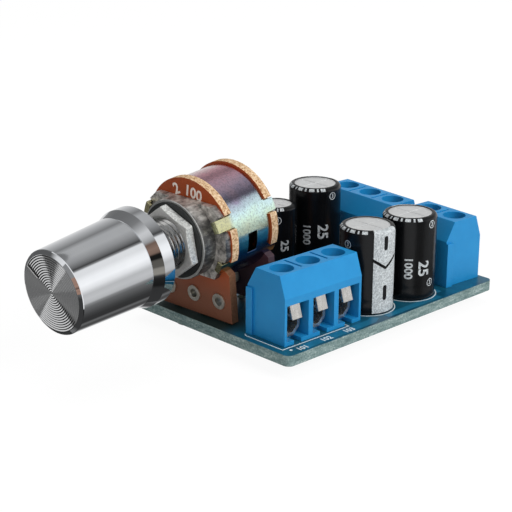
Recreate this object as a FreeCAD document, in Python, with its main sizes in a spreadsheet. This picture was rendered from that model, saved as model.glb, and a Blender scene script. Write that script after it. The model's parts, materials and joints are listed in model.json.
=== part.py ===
import FreeCAD, Part
import os
import re
import Sketcher
from FreeCAD import Vector

# Stereo amplifier board with a dual volume control.
# Frame: +Z up, the knob points to -Y, the input terminals face +X. The origin is at the
# bottom centre of the whole board's box: the ends of the soldered leads stand on Z = 0.

# The driving sizes, in millimetres and degrees
SIZES = {
    # Circuit board
    "board_length": 45.0,
    "board_width": 33.0,
    "board_thickness": 1.6,
    "board_corner": 1.0,
    "lead_stub": 2.0,
    "lead_clearance": 0.15,
    "overcut": 0.5,
    "solder_reach": 0.65,
    "solder_height": 0.8,
    "solder_tip": 0.12,
    # Terminal blocks
    "pole_pitch": 5.08,
    "block_depth": 7.58,
    "block_height": 10.18,
    "front_shoulder": 6.94,
    "front_slope": 1.10,
    "rear_shoulder": 7.30,
    "rear_slope": 1.67,
    "partition": 0.9,
    "floor_thickness": 0.6,
    "lintel_height": 5.9,
    "window_depth": 5.9,
    "foot_notch_width": 1.4,
    "foot_notch_depth": 2.0,
    "screw_setback": 3.38,
    "screw_well_radius": 1.75,
    "groove_width": 0.35,
    "groove_depth": 0.5,
    "groove_length": 3.6,
    "groove_shift": 0.4,
    "rail_width": 1.1,
    "rail_proud": 0.35,
    "rail_top": 7.0,
    "input_inset": 6.44,
    "input_y": 9.71,
    "input_turn": 88.73,
    "output_spacing": 14.55,
    "output_y": 40.4,
    "output_turn": 176.13,
    "power_inset": 7.61,
    "power_y": 40.8,
    "power_turn": 176.26,
    # Wire cages, clamping plates and screws
    "cage_width": 3.5,
    "cage_depth": 3.9,
    "cage_wall": 0.5,
    "cage_floor": 0.5,
    "cage_roof": 1.2,
    "cage_top": 5.8,
    "cage_corner": 1.2,
    "cage_play": 0.05,
    "pin_radius": 0.5,
    "plate_width": 1.9,
    "plate_thickness": 0.4,
    "plate_drop": 0.25,
    "flap_rise": 1.95,
    "flap_fall": 0.4,
    "flap_lean": 0.85,
    "flap_play": 0.15,
    "shank_radius": 1.25,
    "thread_play": 0.04,
    "screw_head_radius": 1.6,
    "screw_head_height": 0.9,
    "screw_recess": 1.33,
    "screw_slot_width": 0.5,
    "screw_slot_depth": 0.45,
    "seat_gap": 0.02,
    # Volume control: its axis starts above the board's front edge and leans to the knob
    "pot_x": -3.97,
    "pot_height": 12.73,
    "pot_yaw": 2.83,
    "pot_lean": 5.05,
    "wafer_radius": 8.23,
    "wafer_thickness": 1.3,
    "wafer_bore": 3.3,
    "front_wafer_face": -0.63,
    "wafer_spacing": 8.2,
    "foot_width": 14.6,
    "foot_offset": -0.15,
    "foot_clearance": 0.33,
    "foot_top": 4.9,
    "foot_root_x": 4.9,
    "foot_root_y": 4.1,
    "rivet_pitch": 5.0,
    "rivet_drop": 9.45,
    "rivet_radius": 0.9,
    "rivet_bore": 0.65,
    "rivet_head_radius": 1.2,
    "rivet_head_thickness": 0.25,
    "tag_width": 2.0,
    "tag_thickness": 0.4,
    "leg_width": 1.0,
    "tag_shoulder": 0.3,
    "can_outer": 7.85,
    "can_wall": 0.4,
    "can_window_width": 3.0,
    "can_window_length": 1.8,
    "can_window_start": 2.45,
    "can_window_angle": -8.4,
    "tab_inner": 6.9,
    "tab_play": 0.05,
    "upper_tab_angle": 22.5,
    "lower_tab_angle": 27.5,
    "upper_tab_arc": 14.0,
    "lower_tab_arc": 13.0,
    "upper_tab_proud": 0.4,
    "lower_tab_proud": 0.0,
    "tab_side_play": 1.0,
    "plate_half_height": 5.65,
    "plate_corner_x": 5.2,
    "plate_horn_radius": 8.05,
    "ear_reach": 7.9,
    "ear_chamfer": 0.4,
    "plate_base": 1.0,
    "boss_radius": 6.0,
    "boss_front": 2.6,
    "boss_bevel": 0.2,
    "bushing_radius": 3.5,
    "bushing_front": 8.9,
    "bushing_chamfer": 0.4,
    "shaft_play": 0.05,
    "washer_radius": 5.85,
    "washer_thickness": 0.4,
    "washer_bore": 3.55,
    "nut_flats": 9.4,
    "nut_thickness": 1.4,
    "nut_bevel": 0.35,
    "nut_face_radius": 4.6,
    "nut_countersink": 0.5,
    "nut_turn": 37.0,
    "shaft_radius": 3.0,
    "shaft_front": 20.5,
    "shaft_chamfer": 0.4,
    "shaft_tail": 1.0,
    "shaft_slot_width": 1.0,
    "shaft_slot_length": 7.0,
    "rotor_radius": 5.6,
    "rotor_thickness": 1.2,
    "wiper_gap": 0.3,
    "knob_rear": 9.42,
    "flange_front": 11.4,
    "flange_radius": 7.13,
    "flare_front": 12.95,
    "neck_radius": 6.4,
    "neck_width": 0.12,
    "knob_root_radius": 6.52,
    "knob_end_radius": 6.0,
    "knob_end": 24.95,
    "insert_radius": 5.4,
    "insert_face": 25.3,
    "insert_thickness": 0.6,
    "pointer_angle": 145.0,
    "pointer_width": 0.55,
    "pointer_depth": 0.25,
    "pointer_inner": 3.0,
    "pointer_margin": 0.15,
    "knob_skirt_radius": 5.4,
    "knob_skirt_depth": 1.2,
    "knob_bore_depth": 12.0,
    "press_play": 0.01,
    # Electrolytic capacitors
    "large_radius": 4.0,
    "large_height": 12.7,
    "small_radius": 3.15,
    "small_height": 11.0,
    "can_rounding": 0.5,
    "sleeve_wall": 0.08,
    "sleeve_lip": 0.75,
    "bead_height": 1.7,
    "bead_depth": 0.3,
    "sleeve_bead_depth": 0.24,
    "base_lift": 0.05,
    "seal_thickness": 1.2,
    "seal_recess": 0.15,
    "crimp_wall": 0.4,
    "vent_width": 0.22,
    "vent_depth": 0.12,
    "vent_margin": 1.2,
    "large_lead_pitch": 3.5,
    "small_lead_pitch": 2.5,
    "lead_radius": 0.3,
    "front_cap_inset": 5.98,
    "front_cap_y": 22.19,
    "right_cap_inset": 5.59,
    "right_cap_y": 31.18,
    "rear_cap_inset": 7.2,
    "rear_cap_y": 31.8,
    "small_cap_inset": 6.9,
    "small_cap_y": 23.4,
    # Amplifier IC and ceramic capacitors
    "chip_x": 1.0,
    "chip_y": 24.0,
    "chip_length": 9.4,
    "chip_width": 6.4,
    "chip_thickness": 3.4,
    "chip_standoff": 0.5,
    "chip_row": 7.62,
    "chip_pitch": 2.54,
    "chip_draft": 0.25,
    "chip_notch_radius": 0.8,
    "chip_leg_width": 0.5,
    "chip_leg_thickness": 0.25,
    "disc_radius": 2.5,
    "disc_thickness": 2.2,
    "disc_height": 3.3,
    "disc_lead_pitch": 3.8,
    "disc_x": 1.0,
    "disc_front_y": 15.3,
    "disc_rear_y": 32.6,
}

doc = FreeCAD.newDocument("amplifier_board")
sheet = doc.addObject("Spreadsheet::Sheet", "sizes")
for row, (name, number) in enumerate(SIZES.items(), 1):
    sheet.set("A%d" % row, name)
    sheet.set("B%d" % row, str(number))
    sheet.setAlias("B%d" % row, name)

# Places worked out from the sizes. The board's front edge lies at Y = EDGE: the knob's end
# reaches as far to one side of the frame's middle as the board does to the other.
KNOB_TIP = ("(insert_face*cos(pot_lean)*cos(pot_yaw)"
            "+insert_radius*sqrt(1-pow(cos(pot_lean)*cos(pot_yaw);2)))")
KNOB_RIM = ("(knob_end*cos(pot_lean)*cos(pot_yaw)"
            "+knob_end_radius*sqrt(1-pow(cos(pot_lean)*cos(pot_yaw);2)))")
EDGE = "((max(" + KNOB_TIP + ";" + KNOB_RIM + ")-board_length)/2)"
TOP = "(lead_stub+board_thickness)"
SPOT_X = {}
for spot in ("input", "power", "front_cap", "right_cap"):
    SPOT_X[spot] = "(board_width/2-%s_inset)" % spot
for spot in ("rear_cap", "small_cap"):
    SPOT_X[spot] = "(%s_inset-board_width/2)" % spot
SPOT_X["output"] = "(%s-output_spacing)" % SPOT_X["power"]


def formula(text):
    """Turn the sizes' names in a formula into the sheet's."""
    def alias(match):
        word = match.group(0)
        return "sizes." + word if word in SIZES else word
    return re.sub(r"[a-z][a-z_]+", alias, text)


def bind(thing, **formulas):
    """Bind properties of a thing to formulas of the sheet's sizes."""
    for prop, text in formulas.items():
        thing.setExpression(prop.replace("__", "."), formula(text))


def place(thing, x="0", y="0", z="0", yaw="0", roll="0"):
    """Bind a thing's whole placement: turn about X by roll, then about Z by yaw."""
    text = "create(<<placement>>; create(<<vector>>; %s; %s; %s); create(<<rotation>>; %s; 0; %s))"
    bind(thing, Placement=text % (x, y, z, yaw, roll))


# Sketched features
def body(name):
    thing = doc.addObject("PartDesign::Body", name)
    thing.Label = name
    return thing


def sketch(owner, plane, offset="0"):
    """Start a sketch on one of the body's own planes, raised by an offset."""
    drawing = owner.newObject("Sketcher::SketchObject", owner.Name + "_sketch")
    support = [f for f in owner.Origin.OriginFeatures if f.Role == plane][0]
    drawing.AttachmentSupport = (support, [""])
    drawing.MapMode = "FlatFace"
    if offset != "0":
        bind(drawing, AttachmentOffset__Base__z=offset)
    return drawing


def pin_point(drawing, geometry, end, x, y):
    """Hold one point of a sketch at formulas for its two coordinates."""
    for kind, text in (("DistanceX", x), ("DistanceY", y)):
        index = drawing.addConstraint(Sketcher.Constraint(kind, -1, 1, geometry, end, 1.0))
        bind(drawing, **{"Constraints[%d]" % index: text})


def outline(drawing, corners):
    """Add a closed outline of straight lines through corners given as formulas."""
    first = drawing.GeometryCount
    count = len(corners)
    guess = [Vector(1, 0, 0), Vector(2, 1, 0), Vector(1, 2, 0)]
    spots = guess + [Vector(-i, 2 - i, 0) for i in range(count - 3)]
    for i in range(count):
        drawing.addGeometry(Part.LineSegment(spots[i], spots[(i + 1) % count]), False)
    for i in range(count):
        ends = (first + i, 2, first + (i + 1) % count, 1)
        drawing.addConstraint(Sketcher.Constraint("Coincident", *ends))
    for i, (x, y) in enumerate(corners):
        pin_point(drawing, first + i, 1, x, y)


def rectangle(drawing, x0, y0, x1, y1):
    outline(drawing, [(x0, y0), (x1, y0), (x1, y1), (x0, y1)])


def circle(drawing, x, y, radius):
    """Add a circle whose centre and radius are formulas."""
    index = drawing.GeometryCount
    drawing.addGeometry(Part.Circle(Vector(1, 1, 0), Vector(0, 0, 1), 1.0), False)
    pin_point(drawing, index, 3, x, y)
    rule = drawing.addConstraint(Sketcher.Constraint("Radius", index, 1.0))
    bind(drawing, **{"Constraints[%d]" % rule: radius})


def feature(owner, kind, drawing, **formulas):
    thing = owner.newObject("PartDesign::" + kind, owner.Name + "_" + kind.lower())
    thing.Profile = drawing
    bind(thing, **formulas)
    return thing


def pad(owner, drawing, length, middle=False, back=False):
    thing = feature(owner, "Pad", drawing, Length=length)
    thing.Midplane = middle
    thing.Reversed = back
    return thing


def pocket(owner, drawing, length, middle=False, back=False):
    thing = feature(owner, "Pocket", drawing, Length=length)
    thing.Midplane = middle
    thing.Reversed = back
    return thing


def revolve(owner, drawing, kind="Revolution"):
    """Turn a sketch on the XZ plane about the body's Z axis."""
    thing = feature(owner, kind, drawing)
    thing.ReferenceAxis = (drawing, ["V_Axis"])
    thing.Angle = 360.0
    return thing


# Primitive shapes
def cylinder(name, radius, height, x="0", y="0", z="0", yaw="0", roll="0"):
    thing = doc.addObject("Part::Cylinder", name)
    bind(thing, Radius=radius, Height=height)
    place(thing, x, y, z, yaw, roll)
    return thing


def ring(name, outer, inner, height, z="0", arc=None, middle_angle="0"):
    """A ring, or the part of one that spans an arc about a middle angle."""
    shapes = []
    for radius in (outer, inner):
        thing = cylinder(name + "_round", radius, height, z=z)
        if arc:
            bind(thing, Angle=arc)
            place(thing, z=z, yaw="(%s)-(%s)/2" % (middle_angle, arc))
        shapes.append(thing)
    return cut(name, shapes[0], shapes[1])


def box(name, length, width, height, x="0", y="0", z="0"):
    thing = doc.addObject("Part::Box", name)
    bind(thing, Length=length, Width=width, Height=height)
    place(thing, x, y, z)
    return thing


def cut(name, base, tool):
    thing = doc.addObject("Part::Cut", name)
    thing.Base = base
    thing.Tool = tool
    return thing


def fuse(name, shapes):
    thing = doc.addObject("Part::MultiFuse", name)
    thing.Shapes = shapes
    thing.Refine = True
    return thing


def group(name, shapes):
    """Separate solids that share one node."""
    thing = doc.addObject("Part::Compound", name)
    thing.Links = shapes
    return thing


subparts = []


def keep(thing, name):
    thing.Label = name
    subparts.append(thing)
    return thing


# Terminal blocks: each is built about the middle of its row, with the wire side at -Y
BLOCKS = {"input": (1, 2, 3), "output": (1, 2, 3), "power": (1, 2)}
WIRE_FACE = "(-block_depth/2)"
SCREW_Y = "(-block_depth/2+screw_setback)"
CAGE_FRONT = "(%s-cage_depth/2)" % SCREW_Y
CAGE_TOP = "(cage_top)"
PLATE_TOP = "(cage_top-cage_roof-plate_drop)"


def pole_x(block, pole):
    return "(%.1f*pole_pitch)" % (pole - (len(BLOCKS[block]) + 1) / 2)


def block_place(thing, block):
    place(thing, SPOT_X[block], "%s+%s_y" % (EDGE, block), TOP, block + "_turn")


def on_board(block, x, y):
    """Board place of a point of a block, without the shift along the board."""
    turn = block + "_turn"
    board_x = "%s+%s*cos(%s)-%s*sin(%s)" % (SPOT_X[block], x, turn, y, turn)
    board_y = "%s_y+%s*sin(%s)+%s*cos(%s)" % (block, x, turn, y, turn)
    return board_x, board_y


def housing(block):
    """Moulded housing: a chamfered bar with a window, a cage space and a screw well per pole."""
    poles = BLOCKS[block]
    thing = body(block + "_housing")
    length = "(%d*pole_pitch)" % len(poles)
    side = sketch(thing, "YZ_Plane")
    back = "(block_depth/2)"
    outline(side, [(WIRE_FACE, "0"), (back, "0"), (back, "rear_shoulder"),
                   (back + "-rear_slope", "block_height"), (WIRE_FACE + "+front_slope", "block_height"),
                   (WIRE_FACE, "front_shoulder")])
    pad(thing, side, length, middle=True)

    window = sketch(thing, "XZ_Plane", offset="block_depth/2")
    half = "(pole_pitch/2-partition/2)"
    for pole in poles:
        x = pole_x(block, pole)
        rectangle(window, "%s-%s" % (x, half), "floor_thickness", "%s+%s" % (x, half), "lintel_height")
    pocket(thing, window, "window_depth")

    notches = sketch(thing, "XY_Plane")
    for pole in poles:
        x = pole_x(block, pole)
        rectangle(notches, x + "-foot_notch_width/2", WIRE_FACE + "-overcut", x + "+foot_notch_width/2",
                  WIRE_FACE + "+foot_notch_depth")
        circle(notches, x, SCREW_Y, "pin_radius+cage_play")
    pocket(thing, notches, "floor_thickness*2", middle=True)

    flaps = sketch(thing, "XY_Plane", offset="lintel_height-overcut")
    slot_front = CAGE_FRONT + "-2*cage_play-plate_thickness-flap_lean/3-flap_play"
    for pole in poles:
        x = pole_x(block, pole)
        rectangle(flaps, x + "-plate_width/2-flap_play", slot_front,
                  x + "+plate_width/2+flap_play", CAGE_FRONT + "+flap_play")
    pocket(thing, flaps, "%s+flap_rise+plate_drop+overcut-lintel_height+flap_play" % PLATE_TOP, back=True)

    wells = sketch(thing, "XY_Plane", offset="cage_top+cage_play")
    for pole in poles:
        circle(wells, pole_x(block, pole), SCREW_Y, "screw_well_radius")
    pocket(thing, wells, "block_height", back=True)

    grooves = sketch(thing, "XY_Plane", offset="block_height-groove_depth")
    for pole in poles[1:]:
        x = "(%s-pole_pitch/2)" % pole_x(block, pole)
        rectangle(grooves, x + "-groove_width/2", SCREW_Y + "-groove_length/2+groove_shift",
                  x + "+groove_width/2", SCREW_Y + "+groove_length/2+groove_shift")
    pocket(thing, grooves, "groove_depth*2", back=True)

    rail = sketch(thing, "XY_Plane")
    rail_y = "(block_depth/2-rail_width)"
    end = "-" + length + "/2"
    outline(rail, [(end, "block_depth/2"), (end + "-rail_proud", "block_depth/2"),
                   (end + "-rail_proud", rail_y + "-rail_proud/2"), (end, rail_y)])
    pad(thing, rail, "rail_top")
    block_place(thing, block)
    return keep(thing, block + "_housing")


def cage(block, pole):
    """Wire cage: a bent ring with a threaded roof and a soldered pin."""
    name = "%s_cage_%d" % (block, pole)
    thing = body(name)
    x = pole_x(block, pole)
    section = sketch(thing, "XZ_Plane", offset="-(%s)" % CAGE_FRONT)
    half = "cage_width/2"
    base = "(floor_thickness+seat_gap)"
    outline(section, [(x + "-" + half + "+cage_corner", base), (x + "+" + half + "-cage_corner", base),
                      (x + "+" + half, base + "+cage_corner"), (x + "+" + half, CAGE_TOP),
                      (x + "-" + half, CAGE_TOP), (x + "-" + half, base + "+cage_corner")])
    inner = "(cage_width/2-cage_wall)"
    floor = "(floor_thickness+seat_gap+cage_floor)"
    bend = "(cage_corner-cage_wall*(2-sqrt(2)))"
    outline(section, [(x + "-" + inner + "+" + bend, floor), (x + "+" + inner + "-" + bend, floor),
                      (x + "+" + inner, floor + "+" + bend), (x + "+" + inner, "cage_top-cage_roof"),
                      (x + "-" + inner, "cage_top-cage_roof"), (x + "-" + inner, floor + "+" + bend)])
    pad(thing, section, "cage_depth", back=True)
    thread = sketch(thing, "XY_Plane", offset="cage_top-cage_roof-overcut")
    circle(thread, x, SCREW_Y, "shank_radius+thread_play")
    pocket(thing, thread, "cage_roof+2*overcut", back=True)
    pin = sketch(thing, "XY_Plane", offset=base)
    circle(pin, x, SCREW_Y, "pin_radius")
    pad(thing, pin, base + "+" + TOP, back=True)
    block_place(thing, block)
    return keep(thing, name)


def clamping_plate(block, pole):
    """Pressure plate under the screw, with a guide flap that hangs in the window."""
    name = "%s_clamp_%d" % (block, pole)
    thing = body(name)
    side = sketch(thing, "YZ_Plane", offset=pole_x(block, pole))
    rear = CAGE_FRONT + "-cage_play*2"
    under = "(cage_top-cage_roof-plate_drop-plate_thickness)"
    flap = "(flap_rise+plate_thickness+flap_fall)"
    outline(side, [(rear, PLATE_TOP + "+flap_rise"), (rear + "-plate_thickness", PLATE_TOP + "+flap_rise"),
                   (rear + "-plate_thickness-flap_lean", under + "-flap_fall"),
                   (rear + "-flap_lean", under + "-flap_fall"),
                   (rear + "-flap_lean*(flap_rise+plate_thickness)/" + flap, under),
                   (SCREW_Y + "+shank_radius", under), (SCREW_Y + "+shank_radius", PLATE_TOP),
                   (rear + "-flap_lean*flap_rise/" + flap, PLATE_TOP)])
    pad(thing, side, "plate_width", middle=True)
    block_place(thing, block)
    return keep(thing, name)


def clamping_screw(block, pole):
    """Slotted screw: its head lies in the well, its tip stands on the pressure plate."""
    name = "%s_screw_%d" % (block, pole)
    thing = body(name)
    x = pole_x(block, pole)
    head_top = "(block_height-screw_recess)"
    shank = sketch(thing, "XY_Plane", offset=PLATE_TOP + "+seat_gap")
    circle(shank, x, SCREW_Y, "shank_radius")
    pad(thing, shank, "%s-screw_head_height-(%s)-seat_gap" % (head_top, PLATE_TOP))
    head = sketch(thing, "XY_Plane", offset=head_top + "-screw_head_height")
    circle(head, x, SCREW_Y, "screw_head_radius")
    pad(thing, head, "screw_head_height")
    slot = sketch(thing, "XY_Plane", offset=head_top)
    rectangle(slot, x + "-screw_slot_width/2", SCREW_Y + "-screw_head_radius-overcut",
              x + "+screw_slot_width/2", SCREW_Y + "+screw_head_radius+overcut")
    pocket(thing, slot, "screw_slot_depth*2", middle=True)
    block_place(thing, block)
    return keep(thing, name)


# Volume control: built along its own axis, +Z to the knob and +Y up
def pot_place(thing):
    place(thing, "pot_x", EDGE, TOP + "+pot_height", "pot_yaw", "90+pot_lean")


WAFER_REAR = {"front": "(front_wafer_face-wafer_thickness)",
              "rear": "(front_wafer_face-wafer_thickness-wafer_spacing)"}
TABS = [("upper_tab_angle", "upper"), ("180-upper_tab_angle", "upper"),
        ("-lower_tab_angle", "lower"), ("180+lower_tab_angle", "lower")]


FOOT_REACH = "((pot_height-foot_clearance-front_wafer_face*sin(pot_lean))/cos(pot_lean))"


def rivet_x(place_number):
    return "(foot_offset+%d*rivet_pitch)" % place_number


def wafer(end):
    """Phenolic wafer: a disc with a straight foot, rivet holes and notches for the can's tabs."""
    thing = body(end + "_phenolic")
    low = WAFER_REAR[end]
    disc = sketch(thing, "XY_Plane", offset=low)
    circle(disc, "0", "0", "wafer_radius")
    pad(thing, disc, "wafer_thickness")
    foot = sketch(thing, "XY_Plane", offset=low)
    left = "foot_offset-foot_width/2"
    right = "foot_offset+foot_width/2"
    outline(foot, [(left, "-foot_top"), (left, "-" + FOOT_REACH), (right, "-" + FOOT_REACH),
                   (right, "-foot_top"), ("foot_root_x", "-foot_root_y"), ("-foot_root_x", "-foot_root_y")])
    pad(thing, foot, "wafer_thickness")
    holes = sketch(thing, "XY_Plane", offset=low)
    circle(holes, "0", "0", "wafer_bore")
    for number in (-1, 0, 1):
        circle(holes, rivet_x(number), "-rivet_drop", "rivet_radius")
    pocket(thing, holes, "wafer_thickness*2", middle=True)
    doc.recompute()
    notches = []
    for angle, row in TABS:
        notches.append(ring(end + "_notch", "wafer_radius+overcut", "can_outer-can_wall-tab_play",
                            "wafer_thickness+2*tab_play", low + "-tab_play",
                            row + "_tab_arc+2*tab_side_play", angle))
    result = cut(end + "_wafer_notched", thing, fuse(end + "_notches", notches))
    pot_place(result)
    return keep(result, end + "_wafer")


def wafer_terminals(end):
    """Three tags at the back of a wafer's foot, each with its hollow rivet and soldered leg."""
    low = WAFER_REAR[end]
    tags = []
    bottom = "((pot_height+board_thickness+lead_stub-(%s)*sin(pot_lean))/cos(pot_lean)" % low
    bottom += "-tag_thickness*sin(pot_lean))"
    for number in (-1, 0, 1):
        x = rivet_x(number)
        name = "%s_tag_%d" % (end, number + 2)
        thing = body(name)
        strip = sketch(thing, "XY_Plane", offset=low)
        tag_top = "-can_outer-tab_play"
        shoulder = "-%s-tag_shoulder" % FOOT_REACH
        outline(strip, [(x + "-tag_width/2", tag_top),
                        (x + "-tag_width/2", "-" + FOOT_REACH), (x + "-leg_width/2", shoulder),
                        (x + "-leg_width/2", "-" + bottom), (x + "+leg_width/2", "-" + bottom),
                        (x + "+leg_width/2", shoulder), (x + "+tag_width/2", "-" + FOOT_REACH),
                        (x + "+tag_width/2", tag_top)])
        pad(thing, strip, "tag_thickness", back=True)
        tube = sketch(thing, "XY_Plane", offset=low)
        circle(tube, x, "-rivet_drop", "rivet_radius-press_play")
        pad(thing, tube, "wafer_thickness+rivet_head_thickness")
        head = sketch(thing, "XY_Plane", offset=low + "+wafer_thickness")
        circle(head, x, "-rivet_drop", "rivet_head_radius")
        pad(thing, head, "rivet_head_thickness")
        bore = sketch(thing, "XY_Plane", offset=low)
        circle(bore, x, "-rivet_drop", "rivet_bore")
        pocket(thing, bore, "wafer_thickness*4", middle=True)
        tags.append(thing)
    thing = group(end + "_tags", tags)
    pot_place(thing)
    return keep(thing, end + "_terminals")


def pot_can():
    """Sheet-metal can between the wafers, with tabs bent over the front plate and rear wafer."""
    inner = "can_outer-can_wall"
    low = WAFER_REAR["rear"] + "+wafer_thickness"
    high = WAFER_REAR["front"]
    shapes = [ring("can_wall", "can_outer", inner, "(%s)-(%s)" % (high, low), low)]
    plate_face = "front_wafer_face+plate_base"
    rear_face = WAFER_REAR["rear"]
    for angle, row in TABS:
        arc = row + "_tab_arc"
        bend = "%s+tab_play+%s_tab_proud" % (plate_face, row)
        reach = "(%s)+can_wall-(%s)" % (bend, high)
        shapes.append(ring("front_tab", "can_outer", inner, reach, high, arc, angle))
        shapes.append(ring("front_tab_end", "can_outer", "tab_inner", "can_wall", bend, arc, angle))
        reach = "wafer_thickness+tab_play+can_wall"
        shapes.append(ring("rear_tab", "can_outer", inner, reach, rear_face + "-tab_play-can_wall",
                           arc, angle))
        shapes.append(ring("rear_tab_end", "can_outer", "tab_inner", "can_wall",
                           rear_face + "-tab_play-can_wall", arc, angle))
    shell = fuse("can_shell", shapes)
    hole = box("can_window", "can_window_length*2", "can_window_width", "can_window_length")
    reach, side = "(can_outer-2*can_wall-overcut)", "(can_window_width/2)"
    c, s = "cos(can_window_angle)", "sin(can_window_angle)"
    place(hole, "%s*%s+%s*%s" % (reach, c, side, s), "%s*%s-%s*%s" % (reach, s, side, c),
          WAFER_REAR["front"] + "-can_window_start-can_window_length", "can_window_angle")
    thing = cut("can_cut", shell, hole)
    pot_place(thing)
    return keep(thing, "pot_can")


def front_plate():
    """Die-cast plate with an ear at each side, a round boss and the threaded bushing."""
    thing = body("front_plate_body")
    base = sketch(thing, "XY_Plane", offset="front_wafer_face")
    inner = "(can_outer-can_wall-2*tab_play)"
    side = [("plate_corner_x", "-plate_half_height")]
    for row, sign in (("lower", -1), ("upper", 1)):
        near = "(%s_tab_angle-%s_tab_arc/2-tab_side_play)" % (row, row)
        far = "(%s_tab_angle+%s_tab_arc/2+tab_side_play)" % (row, row)
        level = "%d*%s*sin(%s)" % (sign, inner, near)
        notch = [("ear_reach", "%s-%d*2*ear_chamfer" % (level, sign)),
                 ("ear_reach-ear_chamfer", level),
                 ("%s*cos(%s)" % (inner, near), level),
                 ("%s*cos(%s)" % (inner, far), "%d*%s*sin(%s)" % (sign, inner, far))]
        side += notch if sign > 0 else notch[::-1]
    side += [("plate_horn_radius*cos(%s)" % far, "plate_horn_radius*sin(%s)" % far),
             ("plate_corner_x", "plate_half_height")]
    outline(base, side + [("-(%s)" % x, y) for x, y in side[::-1]])
    pad(thing, base, "plate_base")
    section = sketch(thing, "XZ_Plane")
    front = "front_wafer_face+plate_base"
    outline(section, [("shaft_radius+shaft_play", "front_wafer_face"), ("boss_radius", "front_wafer_face"),
                      ("boss_radius", "boss_front-boss_bevel"), ("boss_radius-boss_bevel", "boss_front"),
                      ("bushing_radius", "boss_front"), ("bushing_radius", "bushing_front-bushing_chamfer"),
                      ("bushing_radius-bushing_chamfer", "bushing_front"),
                      ("shaft_radius+shaft_play", "bushing_front")])
    revolve(thing, section)
    bore = sketch(thing, "XY_Plane", offset=front)
    circle(bore, "0", "0", "shaft_radius+shaft_play")
    pocket(thing, bore, "bushing_front*4", middle=True)
    pot_place(thing)
    return keep(thing, "front_plate")


def hex_nut():
    """Hexagon nut with a bevelled front and a countersunk bore."""
    washer_front = "(boss_front+seat_gap+washer_thickness+seat_gap)"
    thing = body("hex_nut_body")
    side = sketch(thing, "XY_Plane", offset=washer_front)
    reach = "nut_flats/2/cos(30)"
    outline(side, [("%s*cos(nut_turn+%d)" % (reach, corner), "%s*sin(nut_turn+%d)" % (reach, corner))
                   for corner in range(0, 360, 60)])
    pad(thing, side, "nut_thickness")
    bore = sketch(thing, "XY_Plane", offset=washer_front)
    circle(bore, "0", "0", "bushing_radius+press_play")
    pocket(thing, bore, "nut_thickness*3", middle=True)
    bevel = sketch(thing, "XZ_Plane")
    top = washer_front + "+nut_thickness"
    outline(bevel, [("nut_face_radius", top), (reach + "+overcut", top),
                    (reach + "+overcut", top + "-nut_bevel")])
    outline(bevel, [("shaft_radius", top), ("bushing_radius+nut_countersink", top),
                    ("bushing_radius", top + "-nut_countersink"), ("shaft_radius", top + "-nut_countersink")])
    revolve(thing, bevel, "Groove")
    pot_place(thing)
    return keep(thing, "hex_nut")


def turned(name, profile):
    """A turned piece of the volume control, from its half section (radius, place on the axis)."""
    thing = body(name + "_body")
    drawing = sketch(thing, "XZ_Plane")
    outline(drawing, profile)
    revolve(thing, drawing)
    return thing


def tube_profile(inner, outer, low, high):
    return [(inner, low), (outer, low), (outer, high), (inner, high)]


def washer():
    low = "boss_front+seat_gap"
    thing = turned("washer", tube_profile("washer_bore", "washer_radius", low, low + "+washer_thickness"))
    pot_place(thing)
    return keep(thing, "lock_washer")


def shaft():
    """Round shaft with a split end for the knob."""
    tail = WAFER_REAR["rear"] + "-shaft_tail"
    thing = turned("shaft", [("0", tail), ("shaft_radius", tail),
                             ("shaft_radius", "shaft_front-shaft_chamfer"),
                             ("shaft_radius-shaft_chamfer", "shaft_front"), ("0", "shaft_front")])
    slot = sketch(thing, "XY_Plane", offset="shaft_front")
    rectangle(slot, "-shaft_slot_width/2", "-shaft_radius-overcut", "shaft_slot_width/2",
              "shaft_radius+overcut")
    pocket(thing, slot, "shaft_slot_length*2", middle=True)
    pot_place(thing)
    return keep(thing, "shaft")


def rotor(end):
    """Wiper rotor pressed on the shaft; it faces the carbon track of its wafer."""
    if end == "front":
        high = WAFER_REAR["front"] + "-wiper_gap"
        low = high + "-rotor_thickness"
    else:
        low = WAFER_REAR["rear"] + "+wafer_thickness+wiper_gap"
        high = low + "+rotor_thickness"
    thing = turned(end + "_rotor", tube_profile("shaft_radius+press_play", "rotor_radius", low, high))
    pot_place(thing)
    return keep(thing, end + "_wiper")


def knob():
    """Turned knob: a flange that flares in to a neck, a tapering body, a recess and a blind bore."""
    recess = "insert_face-insert_thickness"
    bore = "shaft_radius+press_play"
    end = "knob_rear+knob_bore_depth"
    thing = turned("knob", [
        (bore, "knob_rear+knob_skirt_depth"), ("knob_skirt_radius", "knob_rear+knob_skirt_depth"),
        ("knob_skirt_radius", "knob_rear"), ("flange_radius", "knob_rear"),
        ("flange_radius", "flange_front"), ("neck_radius", "flare_front"),
        ("neck_radius", "flare_front+neck_width"), ("knob_root_radius", "flare_front+neck_width"),
        ("knob_end_radius", "knob_end"),
        ("insert_radius+press_play", "insert_face"), ("insert_radius+press_play", recess),
        ("0", recess), ("0", end), (bore, end)])
    pot_place(thing)
    return keep(thing, "knob_shell")


def knob_insert():
    """Thin spun disc in the knob's end, with the pointer groove."""
    thing = turned("insert", tube_profile("0", "insert_radius", "insert_face-insert_thickness",
                                          "insert_face"))
    groove = sketch(thing, "XY_Plane", offset="insert_face")
    c, s, half = "cos(pointer_angle)", "sin(pointer_angle)", "pointer_width/2"
    corners = []
    for reach, side in (("pointer_inner", -1), ("(insert_radius-pointer_margin)", -1),
                        ("(insert_radius-pointer_margin)", 1), ("pointer_inner", 1)):
        corners.append(("%s*%s-(%d*%s)*%s" % (reach, c, side, half, s),
                        "%s*%s+(%d*%s)*%s" % (reach, s, side, half, c)))
    outline(groove, corners)
    pocket(thing, groove, "pointer_depth*2", middle=True)
    pot_place(thing)
    return keep(thing, "knob_insert")


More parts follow.
